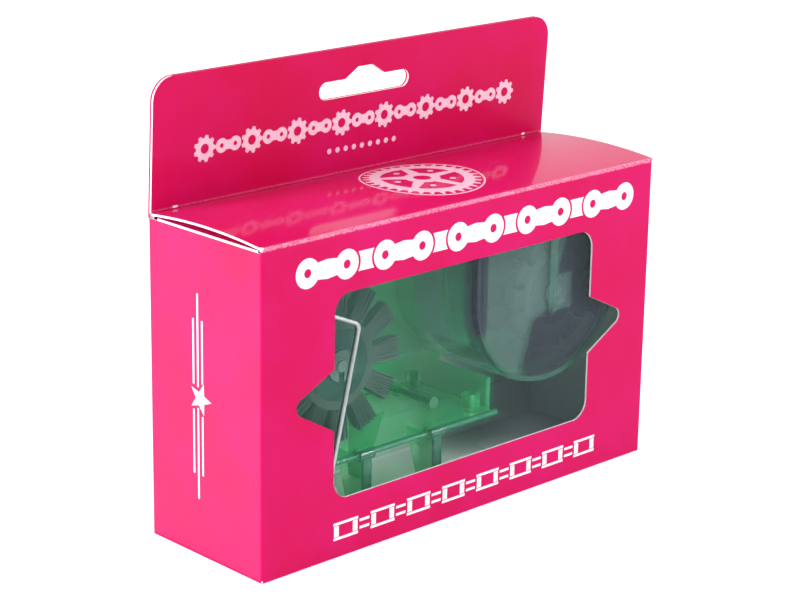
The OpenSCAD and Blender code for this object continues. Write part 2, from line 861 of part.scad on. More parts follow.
front_panel();
back_panel();
left_panel();
right_panel();
header_ply();
base_panel();
base_flaps();
window_film();
lid_panel();
tuck_flap();
dust_flap_left();
dust_flap_right();
case_shell();
case_tray();
case_screws();
hinge_rod();
axle_pins();
axle_clips();
axle_washers();
roller_pins();
wiper_sponge();
arm_pivot_pin();
front_door();
rotor_a_core();
rotor_a_bristles_front();
rotor_a_bristles_rear();
rotor_b_core();
rotor_b_bristles_front();
rotor_b_bristles_rear();
guide_roller_in();
guide_roller_out();
support_arm();
arm_sleeve();
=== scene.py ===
"""Looks of a hanging carton with a hands-free chain cleaner behind its window.

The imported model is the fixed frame. This script gives every piece its finish, prints the carton,
fills the bristle rings and the foam pad, and sets up the floor, the light and the camera.
"""

import logging
import math
from contextlib import contextmanager
from dataclasses import dataclass, field
from enum import Enum
from functools import reduce
from typing import Callable, Iterator, Mapping, Optional, Sequence, Union

import bmesh
import bpy
from mathutils import Matrix, Vector, noise


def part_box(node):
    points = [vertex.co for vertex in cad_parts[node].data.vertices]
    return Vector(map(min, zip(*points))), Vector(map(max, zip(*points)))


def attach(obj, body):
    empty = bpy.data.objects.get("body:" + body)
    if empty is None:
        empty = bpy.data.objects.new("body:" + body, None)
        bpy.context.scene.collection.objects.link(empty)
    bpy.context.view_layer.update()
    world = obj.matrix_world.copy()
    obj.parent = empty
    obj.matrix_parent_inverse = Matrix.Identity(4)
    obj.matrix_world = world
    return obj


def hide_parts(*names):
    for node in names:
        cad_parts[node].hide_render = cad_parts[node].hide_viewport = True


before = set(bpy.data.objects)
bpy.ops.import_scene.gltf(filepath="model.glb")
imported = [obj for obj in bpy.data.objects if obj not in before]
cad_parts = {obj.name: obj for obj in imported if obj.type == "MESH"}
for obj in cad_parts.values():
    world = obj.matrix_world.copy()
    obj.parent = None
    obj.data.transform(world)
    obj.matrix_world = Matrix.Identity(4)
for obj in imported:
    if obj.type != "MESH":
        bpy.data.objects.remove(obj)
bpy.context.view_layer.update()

LOG = logging.getLogger("carton")
MM = 0.001
Colour = tuple[float, float, float]
Point = tuple[float, float]
# Where a mask is 0 and where it is full, or the two ends of what it keeps.
Span = tuple[float, float]
Outline = Sequence[Point]
Number = Union["Field", float, int]
Mesh = bpy.types.Mesh
Material = bpy.types.Material


# Node building


def operator_method(operation: str, swapped: bool = False) -> Callable[["Field", Number], "Field"]:
    """A method for one of Python's operators on two numbers.

    Args:
        operation: The Math node's operation.
        swapped: Whether the other number comes first.

    Returns:
        The method, which adds one Math node.
    """
    def method(this: "Field", other: Number) -> "Field":
        """Adds the Math node behind this and the other."""
        return this.builder.math(operation, *((other, this) if swapped else (this, other)))

    return method


class Field:
    """A socket whose value varies. Python's operators add the Math nodes behind it."""

    __add__ = __radd__ = operator_method("ADD")
    __sub__ = operator_method("SUBTRACT")
    __rsub__ = operator_method("SUBTRACT", swapped=True)
    __mul__ = __rmul__ = operator_method("MULTIPLY")
    __truediv__ = operator_method("DIVIDE")
    __mod__ = operator_method("FLOORED_MODULO")

    def __init__(self, builder: "Builder", socket: bpy.types.NodeSocket) -> None:
        """Wraps one output socket of the builder's tree."""
        self.builder = builder
        self.socket = socket

    def __abs__(self) -> "Field":
        """This without its sign."""
        return self.builder.math("ABSOLUTE", self)


class Builder:
    """Adds nodes to one shader or geometry tree."""

    def __init__(self, tree: bpy.types.NodeTree) -> None:
        """Keeps the tree that the nodes go into."""
        self.tree = tree

    def node(self, kind: str, settings: Optional[Mapping[str, object]] = None,
             values: Optional[Mapping[Union[str, int], object]] = None,
             output: Union[str, int] = 0) -> Field:
        """Adds one node.

        Args:
            kind: The node's type name.
            settings: Its properties, which are set before its sockets.
            values: Plain values or fields for its input sockets, by name or number.
            output: The output that the field wraps.

        Returns:
            The field of that output.
        """
        made = self.tree.nodes.new(kind)
        for name, value in (settings or {}).items():
            setattr(made, name, value)
        for key, value in (values or {}).items():
            if isinstance(value, Field):
                self.tree.links.new(value.socket, made.inputs[key])
            else:
                made.inputs[key].default_value = value
        return Field(self, made.outputs[output])

    def math(self, operation: str, *values: Number) -> Field:
        """Adds a Math node on one to three numbers."""
        return self.node("ShaderNodeMath", {"operation": operation}, dict(enumerate(values)))

    def greatest(self, *values: Number) -> Field:
        """The greatest of several numbers."""
        return reduce(lambda a, b: self.math("MAXIMUM", a, b), values)

    def least(self, *values: Number) -> Field:
        """The least of several numbers."""
        return reduce(lambda a, b: self.math("MINIMUM", a, b), values)

    def hypot(self, a: Field, b: Field) -> Field:
        """The long side of a right triangle with these two short sides."""
        return self.math("SQRT", a * a + b * b)

    def join(self, x: Number, y: Number, z: Number) -> Field:
        """A vector from its three numbers."""
        return self.node("ShaderNodeCombineXYZ", values={0: x, 1: y, 2: z})


class Surface(Builder):
    """The nodes of one material. Its lengths are in millimetres."""

    def __init__(self, name: str) -> None:
        """Makes an empty material and reads the position on the piece.

        Args:
            name: The material's name.
        """
        self.material = bpy.data.materials.new(name)
        self.material.use_nodes = True
        super().__init__(self.material.node_tree)
        self.tree.nodes.clear()
        metres = self.node("ShaderNodeTexCoord", output="Object")
        self.place = self.node("ShaderNodeVectorMath", {"operation": "SCALE"},
                               {"Vector": metres, "Scale": 1 / MM})
        split = self.node("ShaderNodeSeparateXYZ", values={0: self.place}).socket.node
        self.x, self.y, self.z = (Field(self, socket) for socket in split.outputs)

    def band(self, value: Number, low: float, high: float) -> Field:
        """Rises smoothly from 0 at low to 1 at high, or falls where low is the greater."""
        return self.node("ShaderNodeMapRange", {"interpolation_type": "SMOOTHSTEP"},
                         {0: value, 1: low, 2: high})

    def within(self, value: Number, low: float, high: float, soft: float) -> Field:
        """1 between low and high, falling to 0 over soft millimetres past each."""
        return self.band(value, low - soft, low) * self.band(value, high + soft, high)

    def mix(self, share: Number, first: object, second: object) -> Field:
        """A colour between two, each a field or a plain colour."""
        full = [c if isinstance(c, Field) else (*c, 1.0) for c in (first, second)]
        return self.node("ShaderNodeMix", {"data_type": "RGBA"},
                         {0: share, 6: full[0], 7: full[1]}, output=2)

    def noise(self, size: float, detail: float = 2.0, place: Optional[Field] = None) -> Field:
        """Noise from 0 to 1 whose blots are about size millimetres across."""
        return self.node("ShaderNodeTexNoise", values={
            "Vector": place or self.place, "Scale": 1 / size, "Detail": detail})

    def cells(self, size: float) -> Field:
        """Distance to the nearest of points that lie about size millimetres apart."""
        return self.node("ShaderNodeTexVoronoi", values={
            "Vector": self.place, "Scale": 1 / size}, output="Distance")

    def stretched(self, along: tuple[float, float, float]) -> Field:
        """The position, with a pattern on it drawn out along the axes by these factors."""
        return self.node("ShaderNodeVectorMath", {"operation": "MULTIPLY"},
                         {0: self.place, 1: tuple(1 / a for a in along)})

    def from_point(self, x: float, y: float, z: float) -> Field:
        """Distance from a point."""
        return self.node("ShaderNodeVectorMath", {"operation": "DISTANCE"},
                         {0: self.place, 1: (x, y, z)}, output="Value")

    def bump(self, height: Field, depth: float, strength: float) -> Field:
        """A normal from a height of 0 to 1 that stands for depth millimetres."""
        return self.node("ShaderNodeBump", values={
            "Height": height, "Distance": depth * MM, "Strength": strength})

    def gloss(self, values: Mapping[str, object]) -> Field:
        """A Principled shader with these inputs."""
        full = {k: (*v, 1.0) if isinstance(v, tuple) else v for k, v in values.items()}
        return self.node("ShaderNodeBsdfPrincipled", values=full)

    def see_through(self, share: Number, tint: Colour, solid: Field) -> Field:
        """A shader that lets a tint through and shows a share of the solid one."""
        clear = self.node("ShaderNodeBsdfTransparent", values={0: (*tint, 1.0)})
        return self.node("ShaderNodeMixShader", values={0: share, 1: clear, 2: solid})

    def done(self, shader: Field) -> Material:
        """Ends the tree.

        Args:
            shader: The field of the last shader.

        Returns:
            The material.
        """
        end = self.tree.nodes.new("ShaderNodeOutputMaterial")
        self.tree.links.new(shader.socket, end.inputs["Surface"])
        return self.material


class Shape(Builder):
    """A geometry tree with named inputs that makes repeated pieces from a first one."""

    def __init__(self, name: str, inputs: Mapping[str, str]) -> None:
        """Makes the tree.

        Args:
            name: The tree's name.
            inputs: The short socket type of each named input, such as Float.
        """
        super().__init__(bpy.data.node_groups.new(name, "GeometryNodeTree"))
        face = self.tree.interface
        face.new_socket("Geometry", in_out="INPUT", socket_type="NodeSocketGeometry")
        self.keys = {}
        for label, kind in {**inputs, "Material": "Material"}.items():
            made = face.new_socket(label, in_out="INPUT", socket_type=f"NodeSocket{kind}")
            self.keys[label] = made.identifier
        face.new_socket("Geometry", in_out="OUTPUT", socket_type="NodeSocketGeometry")
        self.given = self.tree.nodes.new("NodeGroupInput")

    def value(self, label: str) -> Field:
        """The field of a named input."""
        return Field(self, self.given.outputs[label])

    def end(self, geometry: Field) -> None:
        """Makes the instances real, gives them the material and ends the tree.

        Args:
            geometry: The field of the last geometry.
        """
        real = self.node("GeometryNodeRealizeInstances", values={"Geometry": geometry})
        dressed = self.node("GeometryNodeSetMaterial", values={
            "Geometry": real, "Material": self.value("Material")})
        out = self.tree.nodes.new("NodeGroupOutput")
        self.tree.links.new(dressed.socket, out.inputs["Geometry"])

    def grow(self, first: Mesh, values: Mapping[str, object]) -> Mesh:
        """Runs the tree on a mesh.

        Args:
            first: The mesh that the tree gets as Geometry.
            values: A plain value or a material for each named input.

        Returns:
            The result as a plain mesh.
        """
        holder = linked("holder", first)
        modifier = holder.modifiers.new("grow", "NODES")
        modifier.node_group = self.tree
        for label, value in values.items():
            modifier[self.keys[label]] = value
        return taken(holder)


# Finishes


class Side(Enum):
    """Which face of a board is the printed one, so where its depth is measured from."""

    FRONT = "front"
    BACK = "back"
    HEADER = "header"
    LEFT = "left"
    RIGHT = "right"
    LID = "lid"
    TUCK = "tuck"
    UP = "up"
    DOWN = "down"


@dataclass(frozen=True)
class Carton:
    """The carton's sizes in millimetres, as in the frame."""

    end_x: float = 70.0
    front_y: float = -21.5
    back_y: float = 21.5
    top_z: float = 85.0
    board: float = 0.6
    lean: float = math.radians(3.0)
    ply_front: float = 20.3
    lid_back: float = 20.0
    bow: float = 1.2
    flap_top: float = 84.3
    header_h: float = 34.0
    tuck_slant: float = math.radians(5.0)

    @property
    def header_top(self) -> float:
        """Height of the leaning header's top edge."""
        return self.top_z + self.header_h * math.cos(self.lean)

    @property
    def lid_chord(self) -> float:
        """Depth of the lid from its crease to its rear edge."""
        return self.lid_back - self.front_y

    @property
    def lid_radius(self) -> float:
        """Radius of the bowed lid."""
        return self.lid_chord ** 2 / (8 * self.bow) + self.bow / 2

    @property
    def lid_centre(self) -> Point:
        """Middle of the bowed lid's circle, in Y and Z."""
        return (self.front_y + self.lid_chord / 2, self.top_z + self.bow - self.lid_radius)


@dataclass(frozen=True)
class Drum:
    """The middle line and the wall of the case's U-shaped drum, in millimetres."""

    x: float = 34.7
    z: float = 55.8
    inside: float = 26.4
    outside: float = 28.4
    soft: float = 0.4

    def reach(self, s: Surface) -> Field:
        """Distance from the middle line."""
        return s.hypot(s.x - self.x, s.least(s.z - self.z, 0.0))

    def wall(self, s: Surface) -> Field:
        """1 in the wall, and 0 elsewhere."""
        return s.within(self.reach(s), self.inside, self.outside, self.soft)


CARTON = Carton()
DRUM = Drum()
# Spreads the middle of a noise over 0 to 1.
BLOTS: Span = (0.35, 0.7)


def scaled(colour: Colour, factor: float) -> Colour:
    """The colour, lighter or darker by a factor."""
    return tuple(part * factor for part in colour)


@dataclass(frozen=True)
class Finish:
    """A named finish. Each kind lays its own shader on a surface."""

    name: str

    def make(self) -> Material:
        """Builds the material."""
        surface = Surface(self.name)
        return surface.done(self.lay(surface))

    def lay(self, s: Surface) -> Field:
        """Lays this kind of finish.

        Args:
            s: The surface that it is laid on.

        Returns:
            The shader.
        """
        raise NotImplementedError


@dataclass(frozen=True)
class PrintedBoard(Finish):
    """Bleached board with a laminated pink print on one side and a bare grey inside, where a painted
    shadow of the drum falls.

    Depths are counted from their own face, folds from their crease.
    """

    side: Side
    gloss: float = 0.04
    specular: float = 0.05
    coat_rough: float = 0.16
    rough: float = 0.42
    bare_rough: float = 0.85
    worn_rough: float = 0.25
    ink: Colour = (0.500, 0.0030, 0.100)
    deep_ink: Colour = (0.475, 0.0015, 0.070)
    core: Colour = (0.76, 0.68, 0.70)
    bare: Colour = (0.86, 0.88, 0.88)
    # Painted shadow of the drum on the inside of the base, back and right end: its colour, its share and
    # where it grows along X.
    drum_shadow: Colour = (0.22, 0.27, 0.33)
    drum_shadow_share: float = 0.66
    drum_shadow_x: Span = (20.0, 50.0)
    # Pale pink of cracked ink on the folds, which also stands for a painted crease highlight.
    crack_and_highlight: Colour = (0.88, 0.30, 0.46)
    crack_and_highlight_share: float = 0.7
    crumbs: Span = (0.38, 0.55)
    cloud: Span = (0.3, 0.7)
    ink_depth: Span = (0.08, 0.05)
    bare_depth: Span = (0.09, 0.05)
    front_fold: Span = (0.5, 0.1)
    lid_fold: Span = (0.7, 0.1)
    header_fold: Span = (0.4, 0.1)
    header_worn: float = 0.3
    ragged: float = 1.4
    corner_r: Span = (1.7, 1.4)
    nick_x: float = 62.5
    nick_up: float = 0.5
    nick_squash: float = 0.45
    nick_ragged: float = 0.3
    nick_r: Span = (0.6, 0.45)

    def depth(self, s: Surface) -> Field:
        """Depth under the printed face.

        Args:
            s: The board's surface.

        Returns:
            The depth in millimetres.
        """
        c = CARTON
        past_end = s.greatest(abs(s.x) - (c.end_x - c.board), 0.0)
        over_crease = s.greatest(s.z - c.top_z, 0.0) * math.tan(c.lean)
        if self.side is Side.FRONT:
            return c.board - s.hypot(past_end, s.greatest(c.front_y + c.board - s.y, 0.0))
        if self.side is Side.BACK:
            inward = s.greatest(s.greatest(s.y - (c.back_y - c.board), 0.0) + over_crease, 0.0)
            return s.least(c.board - s.hypot(past_end, inward), c.header_top - s.z)
        if self.side is Side.HEADER:
            return s.least(s.y - c.ply_front + over_crease, c.header_top - s.z)
        if self.side is Side.LEFT:
            return s.x + c.end_x
        if self.side is Side.RIGHT:
            return c.end_x - s.x
        if self.side is Side.LID:
            middle_y, middle_z = c.lid_centre
            return s.least(c.lid_radius - s.hypot(s.y - middle_y, s.z - middle_z), s.y - c.front_y)
        if self.side is Side.TUCK:
            y, z = s.y - (c.lid_back - c.board), s.z - (c.top_z - c.board)
            return c.board - (y * math.cos(c.tuck_slant) - z * math.sin(c.tuck_slant))
        if self.side is Side.UP:
            return c.flap_top - s.z
        return s.least(s.z, s.x + c.end_x, c.end_x - s.x, s.y - c.front_y, c.back_y - s.y)

    def fold(self, s: Surface) -> Number:
        """1 on the folds whose print is cracked and painted pale as a crease highlight, and 0 elsewhere.

        Args:
            s: The board's surface.

        Returns:
            The mask.
        """
        if self.side is Side.FRONT:
            return s.band(s.z, *(CARTON.flap_top - under for under in self.front_fold))
        if self.side is Side.LID:
            return s.band(s.y, *(CARTON.front_y + past for past in self.lid_fold))
        if self.side is Side.HEADER:
            off_crease = abs(s.z - CARTON.top_z - self.header_fold[0])
            return s.band(off_crease, *self.header_fold) * self.header_worn
        return 0.0

    def torn(self, s: Surface) -> Number:
        """1 where a corner of the print is torn down to the core, and 0 elsewhere.

        Args:
            s: The board's surface.

        Returns:
            The mask.
        """
        c = CARTON
        ragged = s.noise(size=0.8, detail=3.0) * self.ragged
        if self.side in (Side.FRONT, Side.LEFT, Side.LID):
            return s.band(s.from_point(-c.end_x, c.front_y, c.top_z) + ragged, *self.corner_r)
        if self.side is Side.HEADER:
            across = (abs(s.x) - self.nick_x) * self.nick_squash
            reach = s.hypot(across, s.z - c.top_z - self.nick_up)
            return s.band(reach + ragged * self.nick_ragged, *self.nick_r)
        return 0.0

    def lay(self, s: Surface) -> Field:
        """Lays the print, the core and the bare inside by their depth."""
        depth = self.depth(s)
        printed = s.band(depth, *self.ink_depth)
        inside = s.band(depth, *(CARTON.board - over for over in self.bare_depth))
        ink = s.mix(s.band(s.noise(size=22.0, detail=3.0), *self.cloud), self.deep_ink, self.ink)
        # Cracked ink on the folds, painted pale so that it also stands for the light along the creases.
        worn_and_lit = self.fold(s) * s.band(s.noise(size=0.35, detail=3.0), *self.crumbs)
        ink = s.mix(worn_and_lit * self.crack_and_highlight_share, ink, self.crack_and_highlight)
        ink = s.mix(self.torn(s), ink, self.core)
        pulp = s.mix(s.noise(size=0.9, detail=4.0), self.bare, scaled(self.bare, 1.1))
        # Painted shadow of the drum, darker towards the right, on the inside of the base, back and right
        # end.
        if self.side in (Side.DOWN, Side.BACK, Side.RIGHT):
            pulp = s.mix(s.band(s.x, *self.drum_shadow_x) * self.drum_shadow_share, pulp, self.drum_shadow)
        rough = self.bare_rough + printed * (self.rough - self.bare_rough) + worn_and_lit * self.worn_rough
        fibre = s.noise(size=0.25, detail=3.0) * (1.0 - printed) + s.noise(size=1.6) * printed * 0.5
        return s.gloss({
            "Base Color": s.mix(printed, s.mix(inside, self.core, pulp), ink), "Roughness": rough,
            "Specular IOR Level": self.specular, "Coat Weight": printed * self.gloss,
            "Coat Roughness": self.coat_rough, "Normal": s.bump(fibre, depth=0.02, strength=0.5)})


@dataclass(frozen=True)
class WhiteInk(Finish):
    """Opaque white ink that lets a little of the pink through."""

    colour: Colour = (0.80, 0.74, 0.77)
    shade: Colour = (0.75, 0.67, 0.72)
    rough: float = 0.45
    uneven: float = 0.1

    def lay(self, s: Surface) -> Field:
        """Lays the ink a little unevenly."""
        return s.gloss({
            "Base Color": s.mix(s.band(s.noise(size=0.8, detail=4.0), *BLOTS), self.shade, self.colour),
            "Roughness": self.rough + s.noise(size=2.0) * self.uneven, "Specular IOR Level": 0.2,
            "Normal": s.bump(s.noise(size=0.3, detail=3.0), depth=0.01, strength=0.4)})


@dataclass(frozen=True)
class ClearFilm(Finish):
    """Clear film with dust, a slow wave, and a painted reflection that grows towards the right."""

    # Share of the painted reflection at the left, and at the right.
    clear: float = 0.012
    right_reflection: float = 0.022
    dust: float = 0.5
    dust_r: Span = (0.035, 0.02)
    dusty: Span = (0.5, 0.6)
    tint: Colour = (0.975, 0.985, 0.985)
    # Colour of the painted reflection of the room: a little everywhere, more towards the right.
    body: Colour = (0.50, 0.60, 0.68)
    middle_z: float = 42.0
    slope: Point = (0.8, 0.3)
    veil: Span = (-42.0, 40.0)
    veil_wave: float = 14.0

    def lay(self, s: Surface) -> Field:
        """Lays dust and a painted reflection on a clear sheet."""
        dust = s.band(s.cells(size=5.5), *self.dust_r) * s.band(s.noise(size=14.0), *self.dusty)
        wave = s.noise(size=26.0, detail=1.0)
        solid = s.gloss({
            "Base Color": self.body, "Roughness": 0.12, "Specular IOR Level": 0.5,
            "Normal": s.bump(wave, depth=0.6, strength=0.3)})
        across = s.x * self.slope[0] - (s.z - self.middle_z) * self.slope[1]
        # Painted reflection, growing from left to right along a wavy slant.
        veil = s.band(across + (wave - 0.5) * self.veil_wave, *self.veil)
        share = self.clear + veil * (self.right_reflection - self.clear) + dust * self.dust
        return s.see_through(share, self.tint, solid)


@dataclass(frozen=True)
class TintedPlastic(Finish):
    """Moulded see-through plastic: a tint for what shows through it and a body of its own.

    A share of the body shows, more of it on edge-on and thick parts, frosted parts, painted sheen,
    darkened parts and painted shade.
    """

    tint: Colour
    body: Colour
    deep: Colour = (0.01, 0.13, 0.075)
    # Pale colour of frost on the shell and of painted sheen on the door.
    veil: Colour = (0.24, 0.42, 0.39)
    # Colour of darkened plastic, also used for painted shade on the shell and the door.
    dark_and_shade: Colour = (0.012, 0.020, 0.034)
    share: float = 0.10
    rim: float = 0.30
    thick_share: float = 0.45
    frost_and_sheen_share: float = 0.08
    dark_share: float = 0.36
    most_share: float = 0.92
    rough: float = 0.16
    uneven: float = 0.08
    frost_and_sheen_rough: float = 0.3
    dark_rough: float = 0.65
    most_rough: float = 0.9
    flow: tuple[float, float, float] = (1.0, 1.0, 2.5)

    def thick(self, s: Surface) -> Number:
        """1 where the plastic is thick and so shows its own colour, and 0 elsewhere."""
        return 0.0

    def frost_and_sheen(self, s: Surface) -> Number:
        """1 where the surface is frosted and where it carries a painted sheen, and 0 elsewhere."""
        return 0.0

    def dark(self, s: Surface) -> Number:
        """1 where the plastic is darkened, partly as painted shade, and 0 elsewhere."""
        return 0.0

    def lay(self, s: Surface) -> Field:
        """Mixes the plastic's body into what shows through it."""
        edge_on = s.node("ShaderNodeLayerWeight", values={"Blend": 0.35}, output="Facing")
        flow = s.noise(size=18.0, place=s.stretched(self.flow))
        thick, frost_and_sheen, dark = self.thick(s), self.frost_and_sheen(s), self.dark(s)
        colour = s.mix(s.band(flow, *BLOTS), self.body, scaled(self.body, 1.25))
        # The pale colour shows as frost on the shell and as painted sheen on the door.
        colour = s.mix(thick, s.mix(frost_and_sheen, colour, self.veil), self.deep)
        rough = self.rough + s.noise(size=6.0) * self.uneven + frost_and_sheen * self.frost_and_sheen_rough
        solid = s.gloss({
            "Base Color": s.mix(dark, colour, self.dark_and_shade),
            "Roughness": s.least(rough + dark * self.dark_rough, self.most_rough),
            "Specular IOR Level": 0.5, "Normal": s.bump(s.noise(size=5.0), depth=0.05, strength=0.35)})
        share = (self.share + edge_on * edge_on * self.rim + thick * self.thick_share
                 + frost_and_sheen * self.frost_and_sheen_share + dark * self.dark_share)
        return s.see_through(s.least(share, self.most_share), self.tint, solid)


@dataclass(frozen=True)
class ShellPlastic(TintedPlastic):
    """The shell's plastic, frosted on a strip round the drum's wall, darkened at the wall's front, and
    painted with shade on its right side.
    """

    strip_y: Span = (-4.5, 5.5)
    strip_frost: float = 3.2
    front_y: Span = (-15.2, -12.6)
    # Where the painted shade on the drum wall's right side starts and where it is full.
    side_x: Span = (48.0, 54.0)

    def frost_and_sheen(self, s: Surface) -> Number:
        """The strip round the drum's wall."""
        return DRUM.wall(s) * s.within(s.y, *self.strip_y, soft=0.8) * self.strip_frost

    def dark(self, s: Surface) -> Number:
        """The front of the drum's wall, darkened, and its right side, painted shade."""
        front = s.within(s.y, *self.front_y, soft=0.6)
        return DRUM.wall(s) * s.greatest(front, s.band(s.x, *self.side_x))


@dataclass(frozen=True)
class TrayPlastic(TintedPlastic):
    """The tray's plastic, deep green where the legs and knuckles are seen end on."""

    front_y: Span = (-15.9, -16.7)

    def thick(self, s: Surface) -> Number:
        """The front faces of the legs and the knuckles."""
        return s.band(s.y, *self.front_y)


@dataclass(frozen=True)
class DoorPlastic(TintedPlastic):
    """The door's plastic. The drum's cover is deep green at rim and rib, with a painted sheen on its
    left and painted shade on its right.
    """

    cover_y: Span = (-14.6, -15.2)
    rim_r: Span = (26.4, 28.5)
    face_r: Span = (26.6, 26.0)
    rib_y: Span = (-17.25, -17.5)
    rib_thick: float = 0.8
    rib_dark: float = 0.35
    # Least and most painted sheen on the cover's face.
    face_sheen: Span = (0.1, 1.0)
    pale_to: Span = (25.3, 23.0)
    # Where the painted shade on the cover's right begins and where it is full, along the slant.
    dark_from: Span = (23.3, 25.3)
    strip_x: Span = (12.0, 10.5)
    strip_z: Span = (43.0, 47.0)
    # Painted highlight over the rotor's hub, in X and Z.
    hub_highlight_x: Span = (36.0, 43.0)
    hub_highlight_z: Span = (47.5, 56.5)
    slant_z: float = 31.7
    slope: float = 0.30
    step_z: Span = (45.5, 48.0)
    step: float = 5.5
    wave: float = 3.0

    def thick(self, s: Surface) -> Number:
        """The cover's rim and rib."""
        rim = s.within(DRUM.reach(s), *self.rim_r, soft=0.3) * s.band(s.y, *self.cover_y)
        return s.greatest(rim, s.band(s.y, *self.rib_y) * self.rib_thick)

    def frost_and_sheen(self, s: Surface) -> Number:
        """Painted sheen on the left of the cover's face, where the light catches it, and a faint one
        over the rest of the face.
        """
        least, most = self.face_sheen
        # Painted sheen on the left, and the painted highlight over the hub.
        pale = s.greatest(s.band(self.slant(s), *self.pale_to), self.hub_highlight(s))
        return self.face(s) * (pale * (most - least) + least)

    def dark(self, s: Surface) -> Number:
        """The right of the cover's face as painted shade, a darker strip at its left, and a little of
        the rib.
        """
        # Painted shade over the right of the cover's face.
        right = self.face(s) * s.band(self.slant(s), *self.dark_from) * (1.0 - self.hub_highlight(s))
        corner = s.band(s.x, *self.strip_x) * s.band(s.z, *self.strip_z)
        left = corner * s.band(s.y, *self.cover_y)
        return s.greatest(right, left, s.band(s.y, *self.rib_y) * self.rib_dark)

    def hub_highlight(self, s: Surface) -> Field:
        """1 on a painted highlight over the drum rotor's hub, right of the rib."""
        return s.within(s.x, *self.hub_highlight_x, soft=0.8) * s.within(s.z, *self.hub_highlight_z, soft=0.8)

    def face(self, s: Surface) -> Field:
        """1 on the cover's face inside its rim."""
        return s.band(DRUM.reach(s), *self.face_r) * s.band(s.y, *self.cover_y)

    def slant(self, s: Surface) -> Field:
        """A length across the cover's face from left to right, along a steep wavy line."""
        straight = s.x - (s.z - self.slant_z) * self.slope - s.band(s.z, *self.step_z) * self.step
        return straight + (s.noise(size=9.0, detail=1.0) - 0.5) * self.wave


@dataclass(frozen=True)
class Filament(Finish):
    """Black nylon strands, mottled with grey."""

    colour: Colour = (0.018, 0.030, 0.030)
    grey: Colour = (0.045, 0.075, 0.066)
    rough: float = 0.38
    uneven: float = 0.15

    def lay(self, s: Surface) -> Field:
        """Mottles the strands."""
        return s.gloss({
            "Base Color": s.mix(s.noise(size=1.2), self.colour, self.grey),
            "Roughness": self.rough + s.noise(size=0.6) * self.uneven,
            "Normal": s.bump(s.noise(size=0.4), depth=0.02, strength=0.5)})


@dataclass(frozen=True)
class DrawnSteel(Finish):
    """Steel with fine lines along one axis."""

    colour: Colour = (0.60, 0.62, 0.64)
    shade: Colour = (0.42, 0.44, 0.46)
    along: tuple[float, float, float] = (1.0, 1.0, 1.0)
    rough: float = 0.24
    uneven: float = 0.16

    def lay(self, s: Surface) -> Field:
        """Draws the lines in colour, roughness and relief."""
        lines = s.noise(size=0.25, detail=4.0, place=s.stretched(self.along))
        return s.gloss({
            "Base Color": s.mix(s.band(lines, *BLOTS), self.shade, self.colour), "Metallic": 1.0,
            "Roughness": self.rough + lines * self.uneven,
            "Normal": s.bump(lines, depth=0.015, strength=0.4)})


@dataclass(frozen=True)
class DullPlastic(Finish):
    """Opaque matt plastic with a fine moulded grain."""

    colour: Colour
    rough: float = 0.45
    uneven: float = 0.15

    def lay(self, s: Surface) -> Field:
        """Grains the plastic in colour, roughness and relief."""
        grain = s.noise(size=0.5, detail=3.0)
        return s.gloss({
            "Base Color": s.mix(grain * 0.5, self.colour, scaled(self.colour, 0.8)),
            "Roughness": self.rough + grain * self.uneven,
            "Normal": s.bump(grain, depth=0.03, strength=0.5)})


@dataclass(frozen=True)
class OpenFoam(Finish):
    """Open-cell foam: lighter walls between pits that are painted dark as shade."""

    wall: Colour = (0.040, 0.058, 0.066)
    # Colour of the painted shade in the pits.
    pit: Colour = (0.006, 0.010, 0.012)
    rough: float = 0.9
    uneven: float = 0.05

    def lay(self, s: Surface) -> Field:
        """Sinks the pits in relief and paints shade into them."""
        pores = s.cells(size=0.9)
        return s.gloss({
            # Painted shade in the pits, darker towards each cell's middle.
            "Base Color": s.mix(s.band(pores, 0.25, 0.6), self.pit, self.wall),
            "Roughness": self.rough + pores * self.uneven,
            "Normal": s.bump(pores, depth=0.25, strength=0.9)})


@dataclass(frozen=True)
class PaleFloor(Finish):
    """Plain pale studio floor that glows a little, so that it stays near white."""

    colour: Colour = (0.74, 0.74, 0.74)
    glow: float = 0.55

    def lay(self, s: Surface) -> Field:
        """Lays a nearly even colour."""
        soft = s.mix(s.noise(size=400.0), self.colour, scaled(self.colour, 0.99))
        return s.gloss({"Base Color": soft, "Roughness": 0.8, "Specular IOR Level": 0.1,
                        "Emission Color": (1.0, 1.0, 1.0), "Emission Strength": self.glow})


# Mesh helpers


def arc(centre: Point, radius: float, start: float, end: float, steps: int) -> list[Point]:
    """Points of an arc between two angles in degrees, both ends included."""
    turns = [math.radians(start + (end - start) * i / steps) for i in range(steps + 1)]
    return [(centre[0] + radius * math.cos(t), centre[1] + radius * math.sin(t)) for t in turns]


def ring_line(centre: Point, radius: float, steps: int) -> list[Point]:
    """A closed circle's points."""
    return arc(centre, radius, 0, 360 * (1 - 1 / steps), steps - 1)


def box_line(x0: float, y0: float, x1: float, y1: float) -> list[Point]:
    """A rectangle's four corners."""
    return [(x0, y0), (x1, y0), (x1, y1), (x0, y1)]


def linked(name: str, data: bpy.types.ID) -> bpy.types.Object:
    """A new object in the scene, at the origin."""
    made = bpy.data.objects.new(name, data)
    bpy.context.scene.collection.objects.link(made)
    return made


def taken(holder: bpy.types.Object) -> Mesh:
    """Turns an object with its modifiers into a plain mesh and removes it.

    Args:
        holder: The object.

    Returns:
        The mesh.
    """
    holder.update_tag()
    bpy.context.view_layer.update()
    seen = holder.evaluated_get(bpy.context.evaluated_depsgraph_get())
    mesh = bpy.data.meshes.new_from_object(seen)
    bpy.data.objects.remove(holder)
    return mesh


